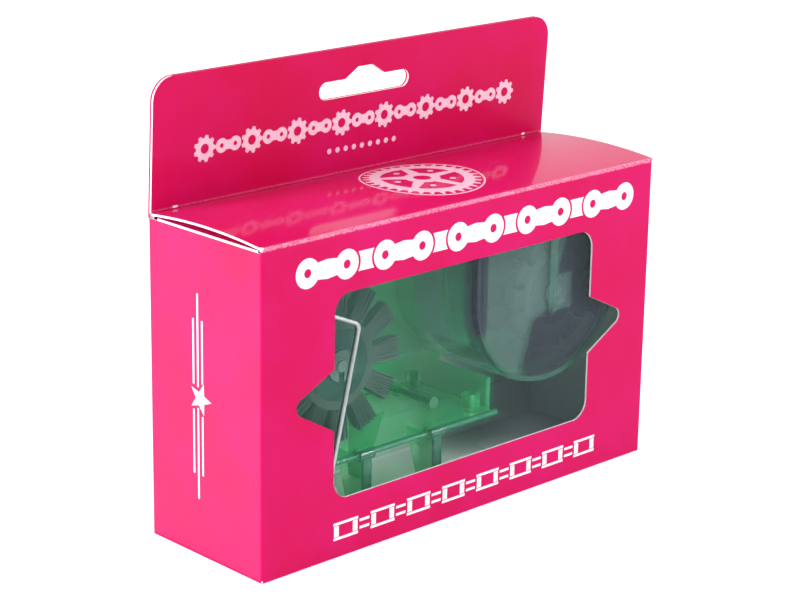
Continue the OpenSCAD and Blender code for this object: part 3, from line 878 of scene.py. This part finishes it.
def flat_solid(outlines: Sequence[Outline], low: float, high: float) -> Mesh:
    """A thin closed solid from outlines in millimetres. An outline inside another is a hole.

    Args:
        outlines: Closed outlines in X and Y.
        low: Height of its underside.
        high: Height of its top.

    Returns:
        The mesh, in metres.
    """
    curve = bpy.data.curves.new("outline", "CURVE")
    curve.dimensions = "2D"
    curve.fill_mode = "BOTH"
    curve.extrude = (high - low) / 2 * MM
    for points in outlines:
        line = curve.splines.new("POLY")
        line.points.add(len(points) - 1)
        for at, (x, y) in zip(line.points, points):
            at.co = (x * MM, y * MM, 0.0, 1.0)
        line.use_cyclic_u = True
    mesh = taken(linked("outline", curve))
    mesh.transform(Matrix.Translation((0, 0, (low + high) / 2 * MM)))
    return cleaned(mesh)


@contextmanager
def edited(mesh: Mesh) -> Iterator[bmesh.types.BMesh]:
    """Opens a mesh for editing and writes it back at the end.

    Args:
        mesh: The mesh.

    Yields:
        Its editable copy.
    """
    work = bmesh.new()
    work.from_mesh(mesh)
    yield work
    work.to_mesh(mesh)
    work.free()


def cleaned(mesh: Mesh) -> Mesh:
    """Merges doubled points and turns all faces outwards.

    Args:
        mesh: The mesh, which is changed.

    Returns:
        The same mesh.
    """
    with edited(mesh) as work:
        bmesh.ops.remove_doubles(work, verts=work.verts, dist=1e-7)
        bmesh.ops.recalc_face_normals(work, faces=work.faces)
    return mesh


def joined(meshes: Sequence[Mesh]) -> Mesh:
    """Puts several meshes together.

    Args:
        meshes: The meshes, which stay as they are.

    Returns:
        A new mesh.
    """
    result = bpy.data.meshes.new("joined")
    with edited(result) as work:
        for mesh in meshes:
            work.from_mesh(mesh)
    return result


def bent(mesh: Mesh, cut: float, cuts: int) -> Mesh:
    """Cuts a flat drawing across Y and bends it to the lid's bow.

    Args:
        mesh: The drawing, which is changed.
        cut: Millimetres from one cut to the next.
        cuts: Number of cuts to each side of the middle.

    Returns:
        The same mesh.
    """
    middle_y, middle_z = CARTON.lid_centre
    with edited(mesh) as work:
        for i in range(-cuts, cuts + 1):
            bmesh.ops.bisect_plane(work, geom=work.verts[:] + work.edges[:] + work.faces[:],
                                   plane_co=(0, i * cut * MM, 0), plane_no=(0, 1, 0))
        for v in work.verts:
            rise = math.sqrt(CARTON.lid_radius ** 2 - (v.co.y / MM - middle_y) ** 2)
            v.co.z += (middle_z + rise) * MM
    return mesh


def put(name: str, mesh: Mesh, finish: Material, body: str) -> bpy.types.Object:
    """Makes a finished piece of a mesh whose place is already in its points.

    Args:
        name: The piece's name.
        mesh: Its mesh in the row frame.
        finish: Its only material.
        body: The CAD body that it rides on.

    Returns:
        The piece.
    """
    mesh.materials.clear()
    mesh.materials.append(finish)
    mesh.polygons.foreach_set("material_index", [0] * len(mesh.polygons))
    piece = linked(name, mesh)
    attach(piece, body)
    LOG.info("%s: %d faces on %s", name, len(mesh.polygons), body)
    return piece


def dress(nodes: Sequence[str], finish: Finish) -> None:
    """Gives CAD nodes one finish.

    Args:
        nodes: Names of the nodes.
        finish: The finish, which is made once for all of them.
    """
    material = finish.make()
    for name in nodes:
        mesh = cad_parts[name].data
        mesh.materials.clear()
        mesh.materials.append(material)
        LOG.info("%s: %s", name, finish.name)


# Repeated shapes


def row_shape() -> Shape:
    """A tree that repeats its first shape in a straight row.

    Returns:
        The tree.
    """
    t = Shape("row", {"Count": "Int", "Step": "Vector"})
    line = t.node("GeometryNodeMeshLine", {"mode": "OFFSET"},
                  {"Count": t.value("Count"), "Offset": t.value("Step")})
    t.end(t.node("GeometryNodeInstanceOnPoints", values={
        "Points": line, "Instance": t.value("Geometry")}))
    return t


def wheel_shape() -> Shape:
    """A tree that repeats its first shape round the middle, turned as it goes.

    Returns:
        The tree.
    """
    t = Shape("wheel", {"Count": "Int"})
    turn = t.node("GeometryNodeInputIndex") * math.tau / t.value("Count")
    dots = t.node("GeometryNodePoints", values={"Count": t.value("Count"), "Position": (0, 0, 0)})
    t.end(t.node("GeometryNodeInstanceOnPoints", values={
        "Points": dots, "Instance": t.value("Geometry"), "Rotation": t.join(0.0, 0.0, turn)}))
    return t


def tuft_shape() -> Shape:
    """A tree that sets fanned tufts of strands round a ring whose axis is Y.

    Returns:
        The tree.
    """
    t = Shape("tufts", {
        "Tufts": "Int", "Across": "Int", "Deep": "Int", "Root Radius": "Float", "Reach": "Float",
        "Tuft Width": "Float", "Ring Width": "Float", "Spread": "Float", "Strand Radius": "Float",
        "Stray": "Float", "Seed": "Int", "Centre": "Vector"})
    sides, taper, side_stray, shortest = 5, 0.7, 0.6, 0.93
    across, deep = t.value("Across"), t.value("Deep")
    index = t.node("GeometryNodeInputIndex")
    in_tuft = across * deep
    tuft = t.math("FLOOR", (index + 0.5) / in_tuft)
    in_row = t.math("FLOOR", index % across)
    row = t.math("FLOOR", (index % in_tuft + 0.5) / across)
    share = in_row / (across - 1) - 0.5 + (row % 2.0 - 0.5) * 0.5 / across

    def random(least: Number, most: Number, offset: int) -> Field:
        """A random number for each strand."""
        return t.node("FunctionNodeRandomValue", {"data_type": "FLOAT"},
                      {2: least, 3: most, 8: t.value("Seed") + offset}, output=1)

    stray = t.value("Stray")
    turn = tuft * math.tau / t.value("Tufts")
    place = t.join(share * t.value("Tuft Width"),
                   (row + 0.5) / deep * t.value("Ring Width"), t.value("Root Radius"))
    around = t.node("ShaderNodeVectorRotate", {"rotation_type": "Y_AXIS"},
                    {"Vector": place, "Angle": turn})
    moved = t.node("ShaderNodeVectorMath", {"operation": "ADD"}, {0: around, 1: t.value("Centre")})
    dots = t.node("GeometryNodePoints", values={
        "Count": in_tuft * t.value("Tufts"), "Position": moved})
    length = t.value("Reach") - t.value("Root Radius")
    strand = t.node("GeometryNodeMeshCone", {"fill_type": "NGON"}, {
        "Vertices": sides, "Radius Top": t.value("Strand Radius") * taper,
        "Radius Bottom": t.value("Strand Radius"), "Depth": length})
    sway = random(stray * -side_stray, stray * side_stray, 2)
    lean = t.join(random(stray * -1.0, stray, 1), turn + share * t.value("Spread") + sway, 0.0)
    size = t.join(1.0, 1.0, random(shortest, 1.0, 3))
    fans = t.node("GeometryNodeInstanceOnPoints", values={
        "Points": dots, "Instance": strand, "Rotation": lean, "Scale": size})
    both = t.node("GeometryNodeJoinGeometry", values={"Geometry": fans})
    t.tree.links.new(t.value("Geometry").socket, both.socket.node.inputs["Geometry"])
    t.end(both)
    return t


# The carton


@dataclass
class Board:
    """The carton's boards, each with its printed side, and what differs in a side's finish, where the
    header's ink is painted darker as shade and the lid's lighter as light.
    """

    panels: Mapping[str, Side] = field(default_factory=lambda: {
        "front_panel": Side.FRONT, "back_panel": Side.BACK, "left_panel": Side.LEFT,
        "right_panel": Side.RIGHT, "header_ply": Side.HEADER, "base_panel": Side.DOWN,
        "base_flaps": Side.DOWN, "lid_panel": Side.LID, "tuck_flap": Side.TUCK,
        "dust_flap_left": Side.UP, "dust_flap_right": Side.UP})
    changes: Mapping[Side, Mapping[str, object]] = field(default_factory=lambda: {
        Side.FRONT: {"core": (0.95, 0.90, 0.92)},
        Side.LEFT: {"gloss": 0.10, "specular": 0.18},
        # The same pink ink, painted darker on the header as painted shade.
        Side.HEADER: {"ink": (0.495, 0.0025, 0.084), "deep_ink": (0.470, 0.0010, 0.054)},
        # The same pink ink, painted lighter on the lid as painted light.
        Side.LID: {"ink": (0.565, 0.003, 0.108), "deep_ink": (0.540, 0.0015, 0.078),
                   "gloss": 0.52, "specular": 0.04, "coat_rough": 0.09}})

    def dress(self) -> None:
        """Gives every board its print and the window its film."""
        for name, side in self.panels.items():
            dress([name], PrintedBoard(f"board_{name}", side, **self.changes.get(side, {})))
        dress(["window_film"], ClearFilm("film"))


@dataclass(frozen=True)
class Plate:
    """Side view of a chain's plates, in millimetres."""

    pitch: float
    end_r: float
    waist: float
    hole_r: float
    hollow: float = 22.0
    gap: float = 0.7
    end_steps: int = 24
    hole_steps: int = 20
    gap_steps: int = 8

    def outer(self) -> list[Outline]:
        """Outline of an outer plate with its two pin holes."""
        half = self.pitch / 2
        bite = math.degrees(math.asin((self.end_r - self.waist) / half)) + self.hollow
        left = arc((0, 0), self.end_r, bite, 360 - bite, self.end_steps)
        right = arc((self.pitch, 0), self.end_r, bite - 180, 180 - bite, self.end_steps)
        holes = [ring_line((x, 0), self.hole_r, self.hole_steps) for x in (0, self.pitch)]
        return [left + [(half, -self.waist)] + right + [(half, self.waist)], *holes]

    def bridge(self) -> list[Outline]:
        """Outline of what shows of an inner plate between two outer plates."""
        reach = self.end_r + self.gap
        angle = math.degrees(math.asin(self.waist / reach))
        left = arc((self.pitch, 0), reach, -angle, angle, self.gap_steps)
        right = arc((2 * self.pitch, 0), reach, 180 - angle, 180 + angle, self.gap_steps)
        return [left + right]


@dataclass(frozen=True)
class Cog:
    """A small cog, in millimetres, with its tips and roots in shares of a tooth."""

    radius: float = 3.5
    teeth: int = 9
    bore: float = 1.3
    tip: Span = (-0.18, 0.18)
    tip_steps: int = 2
    root: Span = (0.34, 0.66)
    root_r: float = 0.8
    root_steps: int = 3
    bore_steps: int = 24

    def outline(self) -> list[Outline]:
        """Outline of the cog with its bore."""
        line: list[Point] = []
        step = 360 / self.teeth
        for start in (360 * i / self.teeth for i in range(self.teeth)):
            for radius, ends, steps in ((self.radius, self.tip, self.tip_steps),
                                        (self.radius * self.root_r, self.root, self.root_steps)):
                line += arc((0, 0), radius, *(start + step * share for share in ends), steps)
        return [line, ring_line((0, 0), self.bore, self.bore_steps)]


@dataclass
class Print:
    """The print on the carton: plain chain, cog and star motifs in white ink.

    Places on the front and the header are in X and Z, on the lid in X and Y, on the end in Y and Z.
    A bar has how far in from its link's end it starts and how far it is off the middle, and a roller
    has half its width and height. A ring of the chainwheel is two circles, each with its number of
    points. A stripe has its Y, its two ends, and how far below and above the star's middle it stops.
    """

    film_low: float = -0.02
    film_high: float = 0.03
    slot: str = "printed_board"
    chain: Plate = Plate(pitch=12.7, end_r=3.8, waist=2.5, hole_r=1.15)
    strip_place: Point = (1.55, 76.2)
    strip_plates: int = 5
    rail_place: Point = (2.0, 7.0)
    rail_links: int = 7
    bar_half: float = 0.35
    outer_bar: Point = (-1.0, 2.0)
    inner_bar: Point = (1.5, 1.0)
    roller: Point = (0.8, 1.45)
    header_place: Point = (0.0, 99.0)
    cog: Cog = Cog()
    cogs: int = 8
    cog_step: float = 15.3
    small_plate: Plate = Plate(pitch=4.4, end_r=1.9, waist=1.2, hole_r=0.6)
    dots: int = 9
    dot_r: float = 0.75
    dot_steps: int = 16
    dot_step: float = 2.9
    dot_drop: float = 7.2
    wheel_place: Point = (3.0, 0.0)
    wheel_tooth: Outline = ((13.6, -0.75), (15.6, -0.3), (15.6, 0.3), (13.6, 0.75))
    wheel_teeth: int = 32
    wheel_arm: Outline = ((4.6, -1.5), (11.2, -0.9), (11.2, 0.9), (4.6, 1.5))
    wheel_arms: int = 5
    wheel_hole: Point = (6.9, 4.1)
    wheel_hole_r: float = 0.85
    wheel_rings: Sequence[Outline] = (
        ((13.8, 96), (11.0, 96)), ((4.8, 48), (2.4, 32)), ((16.6, 96), (16.1, 96)))
    star: Point = (1.7, 41.6)
    star_points: int = 5
    star_radii: Span = (4.25, 1.75)
    stripe_half: float = 0.3
    stripe_gap: float = 0.55
    stripes: Sequence[tuple[float, ...]] = (
        (2.6, 15.1, 68.5, 2.0, 2.4), (4.3, 21.6, 61.9, 2.6, 2.9), (0.9, 21.6, 61.9, 3.9, 3.4))

    def __post_init__(self) -> None:
        """Makes the two repeating trees and the inks."""
        self.row = row_shape()
        self.wheel = wheel_shape()
        self.white = WhiteInk("white_ink").make()
        self.blush = WhiteInk("blush_ink", (0.72, 0.48, 0.58), (0.69, 0.42, 0.53)).make()

    def solid(self, outlines: Sequence[Outline]) -> Mesh:
        """A patch of ink."""
        return flat_solid(outlines, self.film_low, self.film_high)

    def many(self, outlines: Sequence[Outline], count: int, step: float, ink: Material) -> Mesh:
        """A patch of ink, repeated in a row of steps along X."""
        return self.row.grow(self.solid(outlines), {
            "Count": count, "Step": (step * MM, 0.0, 0.0), "Material": ink})

    def round(self, outline: Outline, count: int) -> Mesh:
        """A patch of ink, repeated round the middle."""
        return self.wheel.grow(self.solid([outline]), {"Count": count, "Material": self.blush})

    def bars(self, start: float, end: float, off: float) -> list[Outline]:
        """Two bars along X, on both sides of the middle."""
        return [box_line(start, side * off - self.bar_half, end, side * off + self.bar_half)
                for side in (-1, 1)]

    def upright(self, x: float, y: float, z: float) -> Matrix:
        """From the drawing plane to a plane that faces the front, at a point in millimetres."""
        return Matrix.Translation((x * MM, y * MM, z * MM)) @ Matrix.Rotation(math.pi / 2, 4, "X")

    def on_front(self, x: float, z: float) -> Matrix:
        """From the drawing plane to the front panel."""
        return self.upright(x, CARTON.front_y, z)

    def on_header(self, x: float, z: float) -> Matrix:
        """From the drawing plane to the leaning header's front ply.

        Args:
            x: Where the drawing's middle comes, in X.
            z: And in Z, before the header leans.

        Returns:
            The matrix.
        """
        hinge = Vector((0, CARTON.back_y * MM, CARTON.top_z * MM))
        lean = Matrix.Rotation(CARTON.lean, 4, "X")
        return (Matrix.Translation(hinge) @ lean @ Matrix.Translation(-hinge)
                @ self.upright(x, CARTON.ply_front, z))

    def on_left(self) -> Matrix:
        """From the drawing plane to the left end panel, with X towards the front."""
        return Matrix(((0, 0, -1, -CARTON.end_x * MM), (-1, 0, 0, 0), (0, 1, 0, 0), (0, 0, 0, 1)))

    def lay(self, name: str, mesh: Mesh, place: Matrix, ink: Material) -> None:
        """Moves a drawing to its place on the carton and makes a piece of it."""
        mesh.transform(place)
        put(name, mesh, ink, "carton")

    def strip(self) -> None:
        """A side view of a chain along the top of the front."""
        count, pitch = self.strip_plates, self.chain.pitch
        outer = self.many(self.chain.outer(), count, 2 * pitch, self.white)
        bridges = self.many(self.chain.bridge(), count - 1, 2 * pitch, self.white)
        x, z = self.strip_place
        place = self.on_front(x - (2 * count - 1) * pitch / 2, z)
        self.lay("print_chain_front", joined([outer, bridges]), place, self.white)

    def rail(self) -> None:
        """A top view of a chain along the foot of the front."""
        link = self.chain.pitch / 2
        start, off = self.outer_bar
        half_x, half_z = self.roller
        rollers = [box_line(at - half_x, -half_z, at + half_x, half_z) for at in (0.0, link)]
        outer = self.many(self.bars(start, link - start, off) + rollers,
                          self.rail_links + 1, 2 * link, self.white)
        start, off = self.inner_bar
        inner = self.many(self.bars(link + start, 2 * link - start, off),
                          self.rail_links, 2 * link, self.white)
        x, z = self.rail_place
        place = self.on_front(x - (2 * self.rail_links + 1) * link / 2, z)
        self.lay("print_chain_foot", joined([outer, inner]), place, self.white)

    def header_row(self) -> None:
        """Cogs and small plates by turns across the header, over a row of dots."""
        half = (self.cogs - 1) * self.cog_step / 2
        cogs = self.many(self.cog.outline(), self.cogs, self.cog_step, self.blush)
        plates = self.many(self.small_plate.outer(), self.cogs - 1, self.cog_step, self.blush)
        plates.transform(Matrix.Translation(((self.cog_step - self.small_plate.pitch) / 2 * MM, 0, 0)))
        dot = ring_line((0, 0), self.dot_r, self.dot_steps)
        dots = self.many([dot], self.dots, self.dot_step, self.blush)
        to_middle = half - (self.dots - 1) / 2 * self.dot_step
        dots.transform(Matrix.Translation((to_middle * MM, -self.dot_drop * MM, 0)))
        x, z = self.header_place
        self.lay("print_header", joined([cogs, plates, dots]), self.on_header(x - half, z), self.blush)

    def chainwheel(self) -> None:
        """A plain toothed chainwheel on the lid, bent to the lid's bow."""
        hole = ring_line(self.wheel_hole, self.wheel_hole_r, self.dot_steps)
        parts = [self.round(self.wheel_tooth, self.wheel_teeth),
                 self.round(self.wheel_arm, self.wheel_arms), self.round(hole, self.wheel_arms)]
        for ring in self.wheel_rings:
            parts.append(self.solid([ring_line((0, 0), radius, steps) for radius, steps in ring]))
        mesh = joined(parts)
        x, y = self.wheel_place
        mesh.transform(Matrix.Translation((x * MM, y * MM, 0)))
        put("print_chainwheel", bent(mesh, cut=1.5, cuts=11), self.blush, "lid")

    def side_star(self) -> None:
        """A star on three pinstripes on the left end."""
        y, z = self.star
        star = []
        for i in range(2 * self.star_points):
            turn, radius = math.radians(180 + 180 / self.star_points * i), self.star_radii[i % 2]
            star.append((y + math.cos(turn) * radius, z + math.sin(turn) * radius))
        lines = [star]
        for at, low, high, down, up in self.stripes:
            ends = ((low, z - down - self.stripe_gap), (z + up + self.stripe_gap, high))
            lines += [box_line(at - self.stripe_half, *[a, at + self.stripe_half, b]) for a, b in ends]
        mesh = self.solid([[(-py, pz) for py, pz in line] for line in lines])
        self.lay("print_star_left", mesh, self.on_left(), self.white)

    def build(self) -> None:
        """Puts all the print on the carton."""
        self.strip()
        self.rail()
        self.header_row()
        self.chainwheel()
        self.side_star()


# The cleaner


@dataclass
class Case:
    """The moulded case, its door, its rotors' cores and its metal parts, with their finishes."""

    finishes: Mapping[tuple[str, ...], Finish] = field(default_factory=lambda: {
        ("case_shell",): ShellPlastic(
            "green_plastic", tint=(0.75, 0.925, 0.805), body=(0.04, 0.66, 0.23), share=0.26, rough=0.26),
        ("case_tray",): TrayPlastic(
            "tray_plastic", tint=(0.72, 0.93, 0.79), body=(0.04, 0.66, 0.23), share=0.28),
        ("front_door",): DoorPlastic(
            "door_plastic", tint=(0.93, 0.975, 0.95), body=(0.02, 0.30, 0.16), share=0.04, rim=0.2),
        ("rotor_a_core", "rotor_b_core"): TintedPlastic(
            "core_plastic", tint=(0.50, 0.68, 0.64), body=(0.03, 0.09, 0.095), share=0.42),
        ("guide_roller_in", "guide_roller_out"): TintedPlastic(
            "roller_plastic", tint=(0.88, 0.97, 0.92), body=(0.03, 0.35, 0.16), share=0.08),
        ("hinge_rod",): TintedPlastic(
            "rod_plastic", tint=(0.6, 0.9, 0.7), body=(0.01, 0.22, 0.12), share=0.6),
        ("axle_pins", "arm_pivot_pin"): DrawnSteel(
            "pin_steel", (0.26, 0.29, 0.30), (0.17, 0.19, 0.20), along=(1.0, 12.0, 1.0)),
        ("roller_pins",): DrawnSteel(
            "zinc_steel", (0.22, 0.42, 0.30), (0.14, 0.30, 0.20), along=(1.0, 12.0, 1.0)),
        ("case_screws",): DrawnSteel("screw_steel"),
        ("axle_clips",): DrawnSteel("clip_steel", (0.20, 0.23, 0.24), (0.10, 0.12, 0.13)),
        ("support_arm",): DrawnSteel(
            "wire_steel", (0.48, 0.50, 0.51), (0.34, 0.36, 0.37), along=(1.0, 1.0, 12.0)),
        ("arm_sleeve",): DullPlastic("sleeve_rubber", (0.02, 0.022, 0.024), rough=0.6),
        ("axle_washers",): DullPlastic("washer_plastic", (0.16, 0.20, 0.20))})

    def dress(self) -> None:
        """Gives the case's nodes their finishes."""
        for nodes, finish in self.finishes.items():
            dress(nodes, finish)


@dataclass
class BristleRing:
    """One ring of fanned nylon tufts in a CAD node's place, in millimetres and degrees."""

    node: str
    body: str
    reach: float
    tufts: int = 12
    across: int = 10
    deep: int = 6
    ring_r: float = 12.0
    bore_r: float = 9.52
    ease: float = 0.35
    steps: int = 72
    sunk: float = 0.6
    width: float = 3.4
    tuft_width: float = 4.4
    spread: float = 8.0
    strand_r: float = 0.33
    stray: float = 1.6
    seed: int = 3

    def backing(self, x: float, y: float, z: float) -> Mesh:
        """The ring that holds the tufts, with eased edges.

        Args:
            x: The axis in X.
            y: The ring's front in Y.
            z: The axis in Z.

        Returns:
            The closed ring.
        """
        inner, outer, end = self.ring_r - self.ease, self.ring_r, self.width - self.ease
        profile = [(self.bore_r, 0.0), (inner, 0.0), (outer, self.ease), (outer, end),
                   (inner, self.width), (self.bore_r, self.width)]
        mesh = bpy.data.meshes.new("backing")
        with edited(mesh) as work:
            rows = [[work.verts.new(((x + r * math.sin(turn)) * MM, (y + along) * MM,
                                     (z + r * math.cos(turn)) * MM)) for r, along in profile]
                    for turn in (math.tau * i / self.steps for i in range(self.steps))]
            for i, row in enumerate(rows):
                after = rows[(i + 1) % self.steps]
                for j in range(len(profile)):
                    k = (j + 1) % len(profile)
                    work.faces.new((row[j], row[k], after[k], after[j]))
            bmesh.ops.recalc_face_normals(work, faces=work.faces)
        return mesh

    def build(self, tree: Shape, finish: Material) -> None:
        """Grows the ring in the place of its CAD node.

        Args:
            tree: The tree that sets the tufts.
            finish: The strands' material.
        """
        low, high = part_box(self.node)
        x, _, z = (low + high) / 2 / MM
        y = low.y / MM
        mesh = tree.grow(self.backing(x, y, z), {
            "Tufts": self.tufts, "Across": self.across, "Deep": self.deep,
            "Root Radius": (self.ring_r - self.sunk) * MM, "Reach": self.reach * MM,
            "Tuft Width": self.tuft_width * MM, "Ring Width": self.width * MM,
            "Spread": math.radians(self.spread), "Strand Radius": self.strand_r * MM,
            "Stray": math.radians(self.stray), "Seed": self.seed,
            "Centre": (x * MM, y * MM, z * MM), "Material": finish})
        piece = put(f"{self.node}_strands", mesh, finish, self.body)
        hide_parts(self.node)


@dataclass
class FoamPad:
    """The wiper pad in the drum, with soft edges and torn pores."""

    node: str = "wiper_sponge"
    voxel: float = 0.55
    easing: float = 0.5
    rounds: int = 4
    pore: float = 0.22
    pores_per_mm: Span = (0.9, 2.1)

    def build(self) -> None:
        """Makes the pad from its CAD solid."""
        holder = linked("foam", cleaned(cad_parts[self.node].data.copy()))
        remesh = holder.modifiers.new("remesh", "REMESH")
        remesh.mode = "VOXEL"
        remesh.voxel_size = self.voxel * MM
        smooth = holder.modifiers.new("smooth", "SMOOTH")
        smooth.factor = self.easing
        smooth.iterations = self.rounds
        mesh = taken(holder)
        for v in mesh.vertices:
            pit = sum(noise.noise(v.co / MM * often) * 0.5 for often in self.pores_per_mm)
            v.co -= v.normal * max(0.0, pit) * self.pore * MM
        mesh.shade_smooth()
        piece = put("wiper_foam", mesh, OpenFoam("foam").make(), "cleaner")
        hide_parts(self.node)


# The studio


@dataclass(frozen=True)
class Lamp:
    """A square soft lamp that looks at the carton, in metres and watts."""

    name: str
    place: tuple[float, float, float]
    size: float
    power: float
    aim: tuple[float, float, float] = (0.0, 0.0, 0.05)

    def build(self) -> None:
        """Hangs the lamp."""
        data = bpy.data.lights.new(self.name, "AREA")
        data.size = self.size
        data.energy = self.power
        lamp = linked(self.name, data)
        lamp.location = self.place
        lamp.rotation_mode = "QUATERNION"
        lamp.rotation_quaternion = (Vector(self.place) - Vector(self.aim)).to_track_quat("Z", "Y")


@dataclass
class Studio:
    """Pale floor, soft light and the camera at the photograph's angle.

    Lengths are in metres, but the lens and the sensor are in millimetres.
    """

    azimuth: float = math.radians(-43.9)
    elevation: float = math.radians(17.1)
    roll: float = math.radians(0.97)
    distance: float = 0.603
    target: tuple[float, float, float] = (-0.0076, -0.0035, 0.0558)
    lens: float = 104.36
    sensor: float = 36.0
    clip: Span = (0.01, 20.0)
    floor_half: float = 12.0
    floor_z: float = -0.0002
    sky: float = 0.26
    lamps: Sequence[Lamp] = (
        Lamp("low_front", place=(0.73, -1.04, 0.32), size=0.35, power=9.4),
        Lamp("high_front", place=(-0.07, -0.83, 1.05), size=0.35, power=7.5),
        Lamp("left", place=(-1.20, 0.25, 0.40), size=0.60, power=25.0),
        Lamp("top", place=(0.1, 0.2, 1.3), size=0.8, power=6.0),
        Lamp("card_behind", place=(1.0, 1.05, 0.45), size=1.0, power=3.0))

    def camera(self) -> None:
        """Sets the camera where the photograph was taken from."""
        back = Vector((math.sin(self.azimuth) * math.cos(self.elevation),
                       -math.cos(self.azimuth) * math.cos(self.elevation), math.sin(self.elevation)))
        right = (-back).cross(Vector((0, 0, 1))).normalized()
        up = back.cross(right)
        across = right * math.cos(self.roll) + up * math.sin(self.roll)
        along = up * math.cos(self.roll) - right * math.sin(self.roll)
        data = bpy.data.cameras.new("camera")
        data.lens = self.lens
        data.sensor_width = self.sensor
        data.clip_start, data.clip_end = self.clip
        camera = linked("camera", data)
        turn = Matrix((across, along, back)).transposed().to_4x4()
        camera.matrix_world = Matrix.Translation(Vector(self.target) + back * self.distance) @ turn
        bpy.context.scene.camera = camera

    def floor(self) -> None:
        """Lays the floor just under the carton."""
        half = self.floor_half
        corners = [(x, y, self.floor_z) for x, y in box_line(-half, -half, half, half)]
        mesh = bpy.data.meshes.new("floor")
        mesh.from_pydata(corners, [], [(0, 1, 2, 3)])
        mesh.materials.append(PaleFloor("pale_floor").make())
        linked("floor", mesh)

    def light(self) -> None:
        """Lights the room evenly and hangs the lamps."""
        world = bpy.data.worlds.new("room")
        world.use_nodes = True
        sky = world.node_tree.nodes["Background"].inputs
        sky["Color"].default_value = (1.0, 1.0, 1.0, 1.0)
        sky["Strength"].default_value = self.sky
        bpy.context.scene.world = world
        for lamp in self.lamps:
            lamp.build()

    def build(self) -> None:
        """Sets up the whole studio, with enough bounces for many clear layers."""
        self.camera()
        self.floor()
        self.light()
        scene = bpy.context.scene
        scene.view_settings.view_transform = "Standard"
        scene.cycles.transparent_max_bounces = 48
        scene.cycles.max_bounces = 12
        scene.cycles.diffuse_bounces = 6


# Radius of the tufts' tips on each rotor, in millimetres.
TUFT_REACH = {"a": 21.0, "b": 16.4}


def main() -> None:
    """Builds the scene piece by piece."""
    logging.basicConfig(level=logging.INFO, format="%(message)s")
    Studio().build()
    Board().dress()
    Print().build()
    Case().dress()
    FoamPad().build()
    tree = tuft_shape()
    nylon = Filament("black_nylon").make()
    for letter, reach in TUFT_REACH.items():
        for i, place in enumerate(("front", "rear")):
            ring = BristleRing(f"rotor_{letter}_bristles_{place}", f"rotor_{letter}", reach,
                               seed=BristleRing.seed + i)
            ring.build(tree, nylon)


if __name__ == "__main__":
    main()
